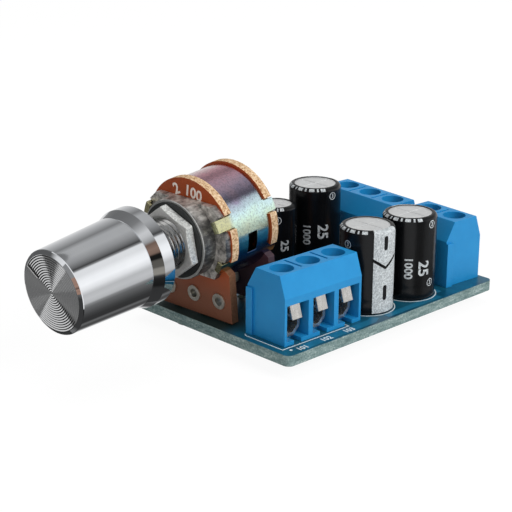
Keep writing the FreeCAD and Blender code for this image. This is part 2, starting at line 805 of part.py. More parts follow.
# Electrolytic capacitors stand on the board, turned about their own axis
CAPS = {"front": ("front_cap", "large"), "right": ("right_cap", "large"),
        "rear": ("rear_cap", "large"), "small": ("small_cap", "small")}
SHOULDER = "can_rounding*(1-sqrt(0.5))"


def cap_place(thing, spot):
    place(thing, SPOT_X[spot], "%s+%s_y" % (EDGE, spot), TOP)


def cap_can(name):
    """Drawn aluminium can, its winding inside, with a rolled bead and a vented top."""
    spot, kind = CAPS[name]
    r, h = kind + "_radius", kind + "_height"
    seal = "(seal_recess+seal_thickness)"
    bead = "bead_height+seal_recess"
    thing = turned(name + "_can", [
        ("0", seal + "+seat_gap"), (r + "-crimp_wall", seal + "+seat_gap"), (r + "-crimp_wall", "base_lift"),
        (r, "base_lift"), (r, bead + "-bead_depth"), (r + "-bead_depth", bead),
        (r, bead + "+bead_depth"), (r, h + "-can_rounding"),
        (r + "-" + SHOULDER, h + "-" + SHOULDER), (r + "-can_rounding", h), ("0", h)])
    vent = sketch(thing, "XY_Plane", offset=h)
    rectangle(vent, "vent_margin-%s" % r, "-vent_width/2", "%s-vent_margin" % r, "vent_width/2")
    pocket(thing, vent, "vent_depth*2", middle=True)
    cross = sketch(thing, "XY_Plane", offset=h)
    rectangle(cross, "-vent_width/2", "vent_margin-%s" % r, "vent_width/2", "%s-vent_margin" % r)
    pocket(thing, cross, "vent_depth*2", middle=True)
    cap_place(thing, spot)
    return keep(thing, name + "_capacitor_can")


def cap_sleeve(name):
    """Shrunk plastic sleeve with a lip rolled over the can's top."""
    spot, kind = CAPS[name]
    r, h = "%s_radius+press_play" % kind, "%s_height+press_play" % kind
    outer = r + "+sleeve_wall"
    bead = "bead_height+seal_recess"
    thing = turned(name + "_sleeve", [
        (r, "base_lift"), (outer, "base_lift"), (outer, bead + "-bead_depth"),
        (outer + "-sleeve_bead_depth", bead),
        (outer, bead + "+bead_depth"), (outer, h + "-can_rounding"),
        (outer + "-" + SHOULDER, h + "-" + SHOULDER + "+sleeve_wall"),
        (r + "-can_rounding", h + "+sleeve_wall"), (r + "-sleeve_lip", h + "+sleeve_wall"),
        (r + "-sleeve_lip", h), (r + "-can_rounding", h),
        (r + "-" + SHOULDER, h + "-" + SHOULDER), (r, h + "-can_rounding"),
        (r, bead + "+bead_depth"), (r + "-sleeve_bead_depth", bead), (r, bead + "-bead_depth")])
    cap_place(thing, spot)
    return keep(thing, name + "_capacitor_sleeve")


def cap_seal(name):
    """Rubber seal in the can's mouth, with holes for the leads."""
    spot, kind = CAPS[name]
    thing = body(name + "_seal_body")
    disc = sketch(thing, "XY_Plane", offset="seal_recess")
    circle(disc, "0", "0", kind + "_radius-crimp_wall-press_play")
    pad(thing, disc, "seal_thickness")
    holes = sketch(thing, "XY_Plane", offset="seal_recess")
    for side in (-1, 1):
        circle(holes, "%d*%s_lead_pitch/2" % (side, kind), "0", "lead_radius+press_play")
    pocket(thing, holes, "seal_thickness*3", middle=True)
    cap_place(thing, spot)
    return keep(thing, name + "_capacitor_seal")


def cap_leads():
    leads = []
    for name, (spot, kind) in CAPS.items():
        for side in (-1, 1):
            x = "%s+%d*%s_lead_pitch/2" % (SPOT_X[spot], side, kind)
            leads.append(cylinder("cap_lead", "lead_radius", TOP + "+seal_recess+seal_thickness",
                                  x, "%s+%s_y" % (EDGE, spot)))
    return keep(group("cap_leads", leads), "capacitor_leads")


# Amplifier IC in an eight-pin package
CHIP_LEGS = [(row, number) for row in (-1, 1) for number in range(4)]


def chip():
    """Moulded package with tapered sides and a pin-one notch."""
    thing = body("chip_body")
    section = sketch(thing, "XZ_Plane")
    middle = "chip_standoff+chip_thickness/2"
    top = "chip_standoff+chip_thickness"
    half = "chip_width/2"
    outline(section, [("-%s+chip_draft" % half, "chip_standoff"), (half + "-chip_draft", "chip_standoff"),
                      (half, middle), (half + "-chip_draft", top), ("-%s+chip_draft" % half, top),
                      ("-" + half, middle)])
    pad(thing, section, "chip_length", middle=True)
    notch = sketch(thing, "XY_Plane", offset=top)
    circle(notch, "0", "chip_length/2", "chip_notch_radius")
    pocket(thing, notch, "chip_notch_radius", middle=True)
    place(thing, "chip_x", "%s+chip_y" % EDGE, TOP)
    return keep(thing, "amplifier_chip")


def chip_leg_x(row):
    return "(%d*(chip_row/2-chip_leg_thickness/2))" % row


def chip_leg_y(number):
    return "(%.1f*chip_pitch)" % (number - 1.5)


def chip_legs():
    """Bent legs: a shoulder from the package's middle, and a blade through the board."""
    legs = []
    middle = "(chip_standoff+chip_thickness/2)"
    for row, number in CHIP_LEGS:
        thing = body("chip_leg")
        side = sketch(thing, "XZ_Plane")
        outer = "%d*chip_row/2" % row
        inner = "%d*(chip_row/2-chip_leg_thickness)" % row
        start = "%d*(chip_width/2+press_play)" % row
        thick = "chip_leg_thickness/2"
        outline(side, [(start, "%s-%s" % (middle, thick)), (inner, "%s-%s" % (middle, thick)),
                       (inner, "-" + TOP), (outer, "-" + TOP), (outer, "%s+%s" % (middle, thick)),
                       (start, "%s+%s" % (middle, thick))])
        pad(thing, side, "chip_leg_width", middle=True)
        place(thing, "chip_x", "%s+chip_y+%s" % (EDGE, chip_leg_y(number)), TOP)
        legs.append(thing)
    return keep(group("chip_leg_group", legs), "chip_legs")


DISCS = ("disc_front_y", "disc_rear_y")


def ceramic_capacitors():
    """Two ceramic discs, each with two straight leads in one dipped piece."""
    discs = []
    for spot in DISCS:
        name = "ceramic_" + spot
        y = "%s+%s" % (EDGE, spot)
        round_part = cylinder(name + "_disc", "disc_radius", "disc_thickness", "disc_x",
                              y + "+disc_thickness/2", TOP + "+disc_height", roll="90")
        legs = [cylinder(name + "_leg", "lead_radius", TOP + "+disc_height",
                         "disc_x+%d*disc_lead_pitch/2" % side, y) for side in (-1, 1)]
        discs.append(fuse(name, [round_part] + legs))
    return keep(group("ceramics", discs), "ceramic_capacitors")


# Every lead that passes the board: its place, without the shift along the board, and its radius
def board_leads():
    leads = []
    for block, poles in BLOCKS.items():
        for pole in poles:
            leads.append(on_board(block, pole_x(block, pole), SCREW_Y) + ("pin_radius",))
    for spot, kind in CAPS.values():
        for side in (-1, 1):
            x = "%s+%d*%s_lead_pitch/2" % (SPOT_X[spot], side, kind)
            leads.append((x, spot + "_y", "lead_radius"))
    for row, number in CHIP_LEGS:
        leads.append(("chip_x+" + chip_leg_x(row), "chip_y+" + chip_leg_y(number), "chip_leg_width/2"))
    for spot in DISCS:
        for side in (-1, 1):
            leads.append(("disc_x+%d*disc_lead_pitch/2" % side, spot, "lead_radius"))
    return leads


def pot_leads():
    """Board places of the six legs of the volume control, half way through the board."""
    leads = []
    for end in ("front", "rear"):
        s = "(%s-tag_thickness/2)" % WAFER_REAR[end]
        down = "((pot_height+board_thickness/2-%s*sin(pot_lean))/cos(pot_lean))" % s
        for number in (-1, 0, 1):
            along = "(%s*cos(pot_lean)-%s*sin(pot_lean))" % (s, down)
            x = "pot_x+%s*cos(pot_yaw)+%s*sin(pot_yaw)" % (rivet_x(number), along)
            y = "%s*sin(pot_yaw)-%s*cos(pot_yaw)" % (rivet_x(number), along)
            leads.append((x, y, "leg_width/2"))
    return leads


def circuit_board():
    """Board with rounded corners and a drilled hole for every lead."""
    thing = body("board_body")
    edge = sketch(thing, "XY_Plane")
    rectangle(edge, "-board_width/2", "0", "board_width/2", "board_length")
    slab = pad(thing, edge, "board_thickness")
    doc.recompute()
    rounds = body_fillet(thing, slab, "board_corner")
    holes = sketch(thing, "XY_Plane")
    for x, y, radius in board_leads():
        circle(holes, x, y, radius + "+lead_clearance")
    for x, y, radius in pot_leads():
        circle(holes, x, y, radius + "+2*lead_clearance")
    pocket(thing, holes, "board_thickness*3", middle=True)
    place(thing, "0", EDGE, "lead_stub")
    return keep(thing, "circuit_board")


def body_fillet(owner, base, radius):
    """Round the upright edges of a pad."""
    upright = []
    for number, edge in enumerate(base.Shape.Edges):
        ends = edge.Vertexes
        if len(ends) == 2 and abs(ends[0].Z - ends[1].Z) > 0.9 * SIZES["board_thickness"]:
            upright.append("Edge%d" % (number + 1))
    thing = owner.newObject("PartDesign::Fillet", owner.Name + "_fillet")
    thing.Base = (base, upright)
    bind(thing, Radius=radius)
    return thing


def solder_joints():
    """Cones of solder round every lead under the board."""
    cones = []
    for x, y, radius in board_leads() + pot_leads():
        cone = doc.addObject("Part::Cone", "solder_cone")
        bind(cone, Radius1=radius + "+solder_tip", Radius2=radius + "+solder_reach", Height="solder_height")
        tool = cylinder("solder_bore", radius + "+lead_clearance", "lead_stub*2")
        joint = cut("solder", cone, tool)
        place(cone, x, "%s+%s" % (EDGE, y), "lead_stub-solder_height")
        place(tool, x, "%s+%s" % (EDGE, y), "0")
        cones.append(joint)
    return keep(group("solder_group", cones), "solder_joints")


def build():
    circuit_board()
    solder_joints()
    for block, poles in BLOCKS.items():
        housing(block)
        for pole in poles:
            cage(block, pole)
            clamping_plate(block, pole)
            clamping_screw(block, pole)
    for end in ("front", "rear"):
        wafer(end)
        wafer_terminals(end)
        rotor(end)
    pot_can()
    front_plate()
    washer()
    hex_nut()
    shaft()
    knob()
    knob_insert()
    for name in CAPS:
        cap_can(name)
        cap_sleeve(name)
        cap_seal(name)
    cap_leads()
    chip()
    chip_legs()
    ceramic_capacitors()


def export():
    """Check every object and write each sub-part to its own file."""
    doc.recompute()
    for thing in doc.Objects:
        if "Invalid" in thing.State or "Error" in thing.State:
            raise RuntimeError("%s failed: %s" % (thing.Label, thing.State))
    os.makedirs("parts", exist_ok=True)
    for thing in subparts:
        shape = thing.Shape
        if shape.isNull() or not shape.isValid():
            raise RuntimeError("%s has no valid shape" % thing.Label)
    for thing in subparts:
        thing.Shape.exportStep("parts/%s.step" % thing.Label)


build()
export()
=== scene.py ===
import json
import math

import bmesh
import bpy
from mathutils import Matrix, Vector

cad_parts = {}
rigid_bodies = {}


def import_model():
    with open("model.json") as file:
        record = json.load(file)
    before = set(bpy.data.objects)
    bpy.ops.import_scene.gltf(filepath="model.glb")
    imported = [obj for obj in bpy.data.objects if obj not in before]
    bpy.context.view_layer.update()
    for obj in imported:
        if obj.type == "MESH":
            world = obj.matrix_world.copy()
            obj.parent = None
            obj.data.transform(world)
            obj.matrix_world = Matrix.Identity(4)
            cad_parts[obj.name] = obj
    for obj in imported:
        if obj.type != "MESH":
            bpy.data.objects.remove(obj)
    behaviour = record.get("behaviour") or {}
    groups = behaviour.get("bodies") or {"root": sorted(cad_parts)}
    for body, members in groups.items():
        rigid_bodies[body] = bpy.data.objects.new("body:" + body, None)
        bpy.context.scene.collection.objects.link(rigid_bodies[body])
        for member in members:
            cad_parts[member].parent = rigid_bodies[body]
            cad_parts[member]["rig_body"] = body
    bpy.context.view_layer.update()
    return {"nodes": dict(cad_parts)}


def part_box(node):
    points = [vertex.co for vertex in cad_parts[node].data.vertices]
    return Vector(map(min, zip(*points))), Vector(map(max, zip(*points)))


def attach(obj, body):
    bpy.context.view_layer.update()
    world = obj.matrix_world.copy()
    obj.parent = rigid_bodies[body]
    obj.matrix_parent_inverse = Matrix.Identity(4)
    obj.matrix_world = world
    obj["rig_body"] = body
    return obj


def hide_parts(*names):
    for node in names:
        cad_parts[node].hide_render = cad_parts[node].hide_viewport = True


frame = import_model()

# Camera: the photograph's viewpoint, a long lens from the front right that looks down
# at the board. Sizes in this script are written in millimetres and turned to metres by MM.
MM = 0.001
view_place = Vector((153.23, -149.63, 86.45)) * MM
view_turn, view_dip, view_roll = 45.66, 19.24, 0.37
camera = bpy.data.cameras.new("camera")
camera.lens = 109.48
camera.sensor_width = 36.0
camera.clip_start = 0.01
viewer = bpy.data.objects.new("camera", camera)
viewer.matrix_world = (
    Matrix.Translation(view_place)
    @ Matrix.Rotation(math.radians(view_turn), 4, "Z")
    @ Matrix.Rotation(math.radians(90 - view_dip), 4, "X")
    @ Matrix.Rotation(math.radians(view_roll), 4, "Z")
)
bpy.context.scene.collection.objects.link(viewer)
bpy.context.scene.camera = viewer
bpy.context.scene.view_settings.view_transform = "Standard"


# Studio floor: white paper. The camera sees it as plain white with a faint shadow, because
# most of what it sees is the paper's own glow.
class Value:
    """A shader socket; the operators on it add Math nodes to its tree."""

    def __init__(self, socket):
        self.socket = socket

    def math(self, operation, *numbers):
        tree = self.socket.id_data
        node = tree.nodes.new("ShaderNodeMath")
        node.operation = operation
        for slot, number in zip(node.inputs, numbers):
            if isinstance(number, Value):
                tree.links.new(number.socket, slot)
            else:
                slot.default_value = number
        return Value(node.outputs[0])

    def __add__(self, other):
        return self.math("ADD", self, other)

    def __radd__(self, other):
        return self.math("ADD", other, self)

    def __sub__(self, other):
        return self.math("SUBTRACT", self, other)

    def __rsub__(self, other):
        return self.math("SUBTRACT", other, self)

    def __mul__(self, other):
        return self.math("MULTIPLY", self, other)

    def __rmul__(self, other):
        return self.math("MULTIPLY", other, self)

    def __gt__(self, other):
        return self.math("GREATER_THAN", self, other)

    def __lt__(self, other):
        return self.math("LESS_THAN", self, other)

    def __abs__(self):
        return self.math("ABSOLUTE", self)


class Finish:
    """A material or world in the making."""

    def __init__(self, holder):
        self.holder = holder
        holder.use_nodes = True
        self.tree = holder.node_tree
        self.tree.nodes.clear()

    def add(self, kind, settings, sockets, output=0):
        """Add a node of any kind: its settings come first, then its sockets' values or links."""
        node = self.tree.nodes.new(kind)
        for name, setting in settings.items():
            if name == "stops":
                stops = node.color_ramp.elements
                while len(stops) < len(setting):
                    stops.new(0.5)
                for stop, (place, colour) in zip(stops, setting):
                    stop.position = place
                    stop.color = colour
            else:
                setattr(node, name, setting)
        for name, value in sockets.items():
            if isinstance(value, Value):
                self.tree.links.new(value.socket, node.inputs[name])
            else:
                node.inputs[name].default_value = value
        return Value(node.outputs[output]) if node.outputs else None

    def place(self):
        """Object coordinates, in metres."""
        return self.add("ShaderNodeTexCoord", {}, {}, "Object")

    def facing(self, x, y, z):
        """How far the surface faces along a direction of the object, from -1 to 1."""
        normal = self.add("ShaderNodeTexCoord", {}, {}, "Normal")
        return self.add("ShaderNodeVectorMath", {"operation": "DOT_PRODUCT"},
                        {0: normal, 1: (x, y, z)}, "Value")

    def noise(self, grain, detail=3.0, roughness=0.6, stretch=(1, 1, 1)):
        """Noise from 0 to 1 whose grain is a length in millimetres."""
        place = self.add("ShaderNodeMapping", {}, {"Vector": self.place(), "Scale": stretch})
        return self.add("ShaderNodeTexNoise", {}, {"Vector": place, "Scale": 1 / (grain * MM),
                                                   "Detail": detail, "Roughness": roughness})

    def fade(self, value, start, end, low=0.0, high=1.0):
        """Fade smoothly from low to high as a value goes from start to end."""
        return self.add("ShaderNodeMapRange", {"interpolation_type": "SMOOTHSTEP"},
                        {"Value": value, "From Min": start, "From Max": end,
                         "To Min": low, "To Max": high})

    def mix(self, share, first, second):
        """A colour between two, by a share from 0 to 1."""
        return self.add("ShaderNodeMix", {"data_type": "RGBA"}, {0: share, 6: first, 7: second}, 2)

    def ramp(self, value, stops):
        """A colour that follows a value through stops of (place, colour)."""
        return self.add("ShaderNodeValToRGB", {"stops": stops}, {0: value})

    def bump(self, height, depth, strength=1.0):
        """A normal from a height of 0 to 1 that stands for a depth in millimetres."""
        return self.add("ShaderNodeBump", {}, {"Height": height, "Distance": depth * MM,
                                               "Strength": strength})

    def shade(self, sockets):
        """Finish with a Principled shader and the output node."""
        shader = self.add("ShaderNodeBsdfPrincipled", {}, sockets)
        self.add("ShaderNodeOutputMaterial", {}, {"Surface": shader})
        return self.holder


def srgb(red, green, blue):
    """A colour as it is seen on a screen, 0 to 255, as a linear shader colour."""
    line = []
    for level in (red / 255, green / 255, blue / 255):
        line.append(((level + 0.055) / 1.055) ** 2.4 if level > 0.04 else level / 12.92)
    return (*line, 1.0)


def grey(level):
    """A neutral shader colour of a linear level."""
    return (level, level, level, 1.0)


def seen_by(finish, *kinds):
    """1 for rays of these kinds, else 0."""
    total = 0.0
    for kind in kinds:
        total = total + finish.add("ShaderNodeLightPath", {}, {}, kind)
    return total


def add_object(name, form, material):
    """Turn a bmesh into an object with one material."""
    mesh = bpy.data.meshes.new(name)
    form.to_mesh(mesh)
    form.free()
    mesh.materials.append(material)
    thing = bpy.data.objects.new(name, mesh)
    bpy.context.scene.collection.objects.link(thing)
    return thing


PAPER_SHADE, PAPER_GLOW, GLOW_SHARE, FLOOR_HALF = 0.85, 1.04, 0.9, 4.0
paper = Finish(bpy.data.materials.new("paper"))
paper_lit = paper.add("ShaderNodeBsdfDiffuse", {}, {"Color": grey(PAPER_SHADE)})
paper_white = paper.add("ShaderNodeEmission", {}, {"Color": grey(PAPER_GLOW)})
paper_share = seen_by(paper, "Is Camera Ray", "Is Glossy Ray", "Is Transmission Ray") * GLOW_SHARE
paper_mix = paper.add("ShaderNodeMixShader", {}, {0: paper_share, 1: paper_lit, 2: paper_white})
paper.add("ShaderNodeOutputMaterial", {}, {"Surface": paper_mix})
form = bmesh.new()
bmesh.ops.create_grid(form, x_segments=1, y_segments=1, size=FLOOR_HALF)
floor = add_object("floor", form, paper.holder)
floor.visible_glossy = False

# Studio light: a big soft lamp high on the right, one overhead, a weak one in front, and a
# white room whose light on the object is soft and even.
ROOM_SEEN, ROOM_LIT = 1.0, 0.23
room = Finish(bpy.data.worlds.new("room"))
room_seen = seen_by(room, "Is Camera Ray", "Is Glossy Ray", "Is Transmission Ray")
room_light = room.add("ShaderNodeBackground", {},
                      {"Color": grey(1.0),
                       "Strength": room_seen * (ROOM_SEEN - ROOM_LIT) + ROOM_LIT})
room.add("ShaderNodeOutputWorld", {}, {"Surface": room_light})
bpy.context.scene.world = room.holder


def soft_lamp(name, place, target, width, watts):
    """A square lamp at a place, in metres, that points at a target."""
    lamp = bpy.data.lights.new(name, "AREA")
    lamp.shape = "SQUARE"
    lamp.size = width
    lamp.energy = watts
    holder = bpy.data.objects.new(name, lamp)
    aim = (Vector(target) - Vector(place)).to_track_quat("-Z", "Y")
    holder.matrix_world = Matrix.Translation(place) @ aim.to_matrix().to_4x4()
    holder.visible_glossy = False
    bpy.context.scene.collection.objects.link(holder)


LAMP_TARGET = (0, 0, 0.01)
soft_lamp("key_lamp", (0.55, 0.12, 0.42), LAMP_TARGET, width=0.45, watts=3.5)
soft_lamp("top_lamp", (-0.1, 0.1, 0.7), LAMP_TARGET, width=0.5, watts=1.9)
soft_lamp("front_lamp", (0.25, -0.6, 0.25), LAMP_TARGET, width=0.4, watts=0.7)

# Light tent: a tube of cloth in long bands of white, grey and black, which only reflections
# see. The long sides of the knob and the can see its far part, the knob's flare its middle,
# and what faces the front its near part.
FAR_BANDS = [(-149, 0.85), (-141, 0.66), (-133, 0.42), (-124, 0.1), (-111, 0.07), (-99, 0.17),
             (-90, 0.04), (-75, 0.045), (-63, 0.07), (-51, 0.115), (-39, 0.17), (-31, 0.3),
             (-26, 0.6), (-15, 0.68), (-3, 0.63), (3, 0.78), (9, 0.98), (21, 1.2), (33, 1.15),
             (45, 0.95), (56, 0.95), (59, 0.3), (63, 0.06), (68, 0.17), (81, 0.36), (96, 0.5),
             (115, 0.49), (128, 0.25), (140, 0.4), (165, 0.66), (182, 0.8), (211, 0.85)]
CREAM, WOOD = (1.0, 0.94, 0.83), (1.0, 0.66, 0.52)
MIDDLE_BANDS = [(-149, 0.25), (-146, 0.04), (-100, 0.045), (-56, 0.04), (-49, 0.013),
                (-33, 0.02), (-27, 0.05), (-22, 0.34, CREAM), (-11, 0.31, CREAM),
                (-7, 0.13, CREAM), (6, 0.12, CREAM), (10, 0.012), (18, 0.012),
                (22, 0.24, WOOD), (31, 0.3, WOOD), (42, 0.2, WOOD), (48, 0.4), (60, 0.68),
                (68, 0.75), (77, 0.56), (86, 0.4), (95, 0.25), (104, 0.22), (125, 0.19),
                (147, 0.18), (165, 0.22), (173, 0.33), (179, 0.12), (194, 0.12), (197, 0.25),
                (211, 0.25)]
NEAR_BANDS = [(-149, 0.2), (-112, 0.2), (-104, 0.05), (-55, 0.05), (-42, 0.2), (-34, 1.1),
              (88, 1.0), (110, 0.6), (125, 0.95), (140, 0.8), (150, 0.12), (194, 0.12),
              (197, 0.2), (211, 0.2)]
TENT_RADIUS, TENT_LENGTH, TENT_START = 0.3, 1.6, -149
NEAR_EDGE, FAR_EDGE = -0.1, 0.1
BLACK_FAN, WHITE_FAN, BLACK_FAN_END = (1, 32), (329.5, 342), -0.3
FAN_DARK, FAN_LIGHT = 0.02, 0.82


def tent_stops(bands):
    """Ramp stops of bands: an angle round the tube, a strength and, with some, a tint."""
    stops = []
    for angle, level, *tint in bands:
        red, green, blue = tint[0] if tint else (1, 1, 1)
        stops.append(((angle - TENT_START) / 360, (level * red, level * green, level * blue, 1.0)))
    return stops


tent_finish = Finish(bpy.data.materials.new("tent_cloth"))
tent_x = tent_finish.add("ShaderNodeSeparateXYZ", {}, {0: tent_finish.place()}, "X")
tent_y = Value(tent_x.socket.node.outputs["Y"])
tent_z = Value(tent_x.socket.node.outputs["Z"])
tent_degrees = tent_x.math("ARCTAN2", tent_z, tent_x) * (180 / math.pi)
tent_turn = (tent_degrees - TENT_START) * (1 / 360)
tent_turn = tent_turn.math("WRAP", tent_turn, 1.0, 0.0)
tent_far = tent_finish.ramp(tent_turn, tent_stops(FAR_BANDS))
tent_middle = tent_finish.ramp(tent_turn, tent_stops(MIDDLE_BANDS))
tent_near = tent_finish.ramp(tent_turn, tent_stops(NEAR_BANDS))
tent_black = (tent_turn > BLACK_FAN[0] / 360) * (tent_turn < BLACK_FAN[1] / 360)
tent_black = tent_black * (tent_y > BLACK_FAN_END)
tent_white = (tent_turn > WHITE_FAN[0] / 360) * (tent_turn < WHITE_FAN[1] / 360)
tent_near = tent_finish.mix(tent_black, tent_near, grey(FAN_DARK))
tent_near = tent_finish.mix(tent_white, tent_near, grey(FAN_LIGHT))
tent_front = tent_finish.mix(tent_y > NEAR_EDGE, tent_near, tent_middle)
tent_level = tent_finish.mix(tent_y > FAR_EDGE, tent_front, tent_far)
tent_glow = tent_finish.add("ShaderNodeEmission", {}, {"Color": tent_level})
tent_finish.add("ShaderNodeOutputMaterial", {}, {"Surface": tent_glow})
form = bmesh.new()
bmesh.ops.create_cone(form, segments=96, radius1=TENT_RADIUS, radius2=TENT_RADIUS,
                      depth=TENT_LENGTH, matrix=Matrix.Rotation(math.pi / 2, 4, "X"))
tent = add_object("light_tent", form, tent_finish.holder)

# Curtain: grey cloth over the near end of the tent, with a brown fold low on its right side,
# which the bevel of the knob's rim and the flare pick up.
BROWN_TOP, FOLD_WIDTH, CURTAIN_GREY = 0.08, 60.0, 0.3
curtain_finish = Finish(bpy.data.materials.new("brown_curtain"))
curtain_side = curtain_finish.add("ShaderNodeSeparateXYZ", {}, {0: curtain_finish.place()}, "X")
curtain_height = Value(curtain_side.socket.node.outputs["Z"])
curtain_brown = (curtain_side > 0.0) * (curtain_height < BROWN_TOP)
curtain_folds = curtain_finish.noise(FOLD_WIDTH)
curtain_cloth = curtain_finish.ramp(curtain_folds, [(0.42, (0.03, 0.02, 0.02, 1)),
                                                    (0.5, (0.42, 0.26, 0.2, 1))])
curtain_colour = curtain_finish.mix(curtain_brown, grey(CURTAIN_GREY), curtain_cloth)
curtain_glow = curtain_finish.add("ShaderNodeEmission", {}, {"Color": curtain_colour})
curtain_finish.add("ShaderNodeOutputMaterial", {}, {"Surface": curtain_glow})
form = bmesh.new()
tent_end = (Matrix.Translation((0, -TENT_LENGTH / 2, 0))
            @ Matrix.Rotation(math.pi / 2, 4, "X"))
bmesh.ops.create_circle(form, cap_ends=True, segments=48, radius=TENT_RADIUS, matrix=tent_end)
curtain = add_object("tent_curtain", form, curtain_finish.holder)
for cloth in (tent, curtain):
    for ray in ("camera", "diffuse", "transmission", "volume_scatter", "shadow"):
        setattr(cloth, "visible_" + ray, False)
    cloth.data.materials[0].cycles.emission_sampling = "NONE"

# Circuit board: glass-fibre laminate, 1.6 mm thick, under a blue-green solder mask with shade painted
# darker on it under the volume control. Its edges are routed and show the bare grey-green laminate.
MERGE_GAP, FLAT_TURN = 0.001, 0.4


def merged_copy(node):
    """A bmesh of a CAD node with its triangles joined into whole faces."""
    form = bmesh.new()
    form.from_mesh(frame["nodes"][node].data)
    bmesh.ops.remove_doubles(form, verts=form.verts, dist=MERGE_GAP * MM)
    bmesh.ops.dissolve_limit(form, angle_limit=math.radians(FLAT_TURN), verts=form.verts,
                             edges=form.edges)
    return form


def finish_piece(name, form, material, body, ease=0.0, segments=2, crease=32):
    """Make a piece of a body from a bmesh, with its sharp edges eased by a width in mm."""
    piece = add_object(name, form, material)
    for face in piece.data.polygons:
        face.use_smooth = True
    piece.data.set_sharp_from_angle(angle=math.radians(crease))
    if ease:
        rounding = piece.modifiers.new("eased_edges", "BEVEL")
        rounding.width = ease * MM
        rounding.segments = segments
        rounding.limit_method = "ANGLE"
        rounding.angle_limit = math.radians(crease)
        rounding.harden_normals = True
        rounding.use_clamp_overlap = True
    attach(piece, body)
    return piece


def eased_node(node, material, ease, segments=2):
    """Replace a CAD node by a copy of itself with eased edges."""
    body = frame["nodes"][node]["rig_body"]
    piece = finish_piece(node + "_eased", merged_copy(node), material, body, ease, segments)
    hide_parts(node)


mask = Finish(bpy.data.materials.new("solder_mask"))
mask_edge = mask.fade(abs(mask.facing(0, 0, 1)), 0.5, 0.6, 1.0, 0.0)
mask_cloud = mask.noise(6.0, 4.0)
mask_colour = mask.mix(mask.fade(mask_cloud, 0.35, 0.65), srgb(12, 68, 92), srgb(24, 92, 116))
mask_x = mask.add("ShaderNodeSeparateXYZ", {}, {0: mask.place()}, "X")
mask_y = Value(mask_x.socket.node.outputs["Y"])
# Painted shade: the mask is darkened, and made rougher, towards the front edge under the volume
# control.
pot_shade_on_mask = mask.fade(mask_y, -7 * MM, -1 * MM, 1.0, 0.0)
pot_shade_on_mask = pot_shade_on_mask * mask.fade(mask_x, 2 * MM, 6 * MM, 1.0, 0.0)
mask_colour = mask.mix(pot_shade_on_mask, mask_colour, srgb(14, 40, 40))
laminate_layers = mask.noise(0.5, 5.0, 0.8, (0.15, 0.15, 1.0))
laminate_chips = mask.noise(0.28, 4.0, 0.8)
laminate = mask.ramp(laminate_layers * 0.5 + laminate_chips * 0.5,
                     [(0.34, srgb(68, 90, 90)), (0.47, srgb(110, 134, 133)),
                      (0.56, srgb(144, 164, 162)), (0.66, srgb(216, 228, 224))])
mask_weave = mask.noise(0.4, 2.0)
mask_height = mask_edge * laminate_chips + (1 - mask_edge) * (mask_weave * 0.12)
solder_mask = mask.shade({
    "Base Color": mask.mix(mask_edge, mask_colour, laminate),
    "Roughness": mask_edge * 0.45 + pot_shade_on_mask * (1 - mask_edge) * 0.35 + 0.3,
    "Normal": mask.bump(mask_height, 0.1),
    "Specular IOR Level": 0.5,
})
eased_node("circuit_board", solder_mask, 0.08)
board_low, board_high = (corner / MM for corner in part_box("circuit_board"))
board_top = board_high.z


# Copper tracks: flat bands of copper under the mask, which show as a lighter blue and stand a
# little above the rest of the board. Each has its width and its points, in millimetres.
def grained(name, noise, dark, light, rough, spread=0.0, depth=0.0, metallic=0.0, shine=0.5):
    """A finish whose colour follows one noise, and with it the roughness and the height."""
    finish = Finish(bpy.data.materials.new(name))
    grain = finish.noise(*noise)
    sockets = {
        "Base Color": finish.mix(grain, srgb(*dark), srgb(*light)),
        "Metallic": metallic,
        "Roughness": grain * spread + rough if spread else rough,
        "Specular IOR Level": shine,
    }
    if depth:
        sockets["Normal"] = finish.bump(grain, depth)
    return finish.shade(sockets)


masked_copper = grained("masked_copper", (2.0,), (21, 96, 128), (36, 118, 151), 0.32)


def ribbon(form, points, width, low, high):
    """Add a flat strip with mitred corners along points of the board."""
    rows = []
    for number, point in enumerate(points):
        here = Vector(point)
        before = (here - Vector(points[number - 1])).normalized() if number else None
        after = None
        if number + 1 < len(points):
            after = (Vector(points[number + 1]) - here).normalized()
        along = ((before or after) + (after or before)).normalized()
        side = Vector((-along.y, along.x)) * (width / 2 / along.dot(before or after))
        rows.append([form.verts.new(((here + side * sign).to_3d() + Vector((0, 0, low))) * MM)
                     for sign in (-1, 1)])
    strip = [form.faces.new((a[0], b[0], b[1], a[1])) for a, b in zip(rows, rows[1:])]
    raised = bmesh.ops.extrude_face_region(form, geom=strip, use_keep_orig=True)["geom"]
    tops = [v for v in raised if isinstance(v, bmesh.types.BMVert)]
    bmesh.ops.translate(form, verts=tops, vec=(0, 0, (high - low) * MM))


TRACK_SUNK, TRACK_RISE = 0.02, 0.025
TRACKS = [
    (1.3, [(15.35, -5.6), (15.35, 8.6), (14.7, 9.9)]),
    (1.1, [(15.4, 11.6), (15.4, 23.6)]),
    (0.8, [(4.4, -3.4), (4.4, 8.0), (5.6, 9.6)]),
    (0.8, [(2.6, -3.4), (2.6, 4.0), (-1.0, 7.6)]),
    (1.4, [(-14.8, -7.6), (-14.8, 12.0), (-13.0, 14.0), (-13.0, 24.0)]),
    (1.0, [(5.4, 25.0), (14.4, 25.0)]),
    (0.8, [(-3.6, 27.4), (2.0, 27.4), (4.4, 25.6)]),
]
form = bmesh.new()
for width, points in TRACKS:
    ribbon(form, points, width, board_top - TRACK_SUNK, board_top + TRACK_RISE)
bmesh.ops.recalc_face_normals(form, faces=form.faces)
finish_piece("copper_tracks", form, masked_copper, "board")

# White print on the board: an outline round the input block and the capacitors and a number
# for each input pole, screened on the mask in epoxy ink.
white_ink = grained("white_ink", (0.3,), (206, 222, 226), (232, 240, 242), 0.55)
INK_LOW, INK_HIGH = board_top + 0.02, board_top + 0.045


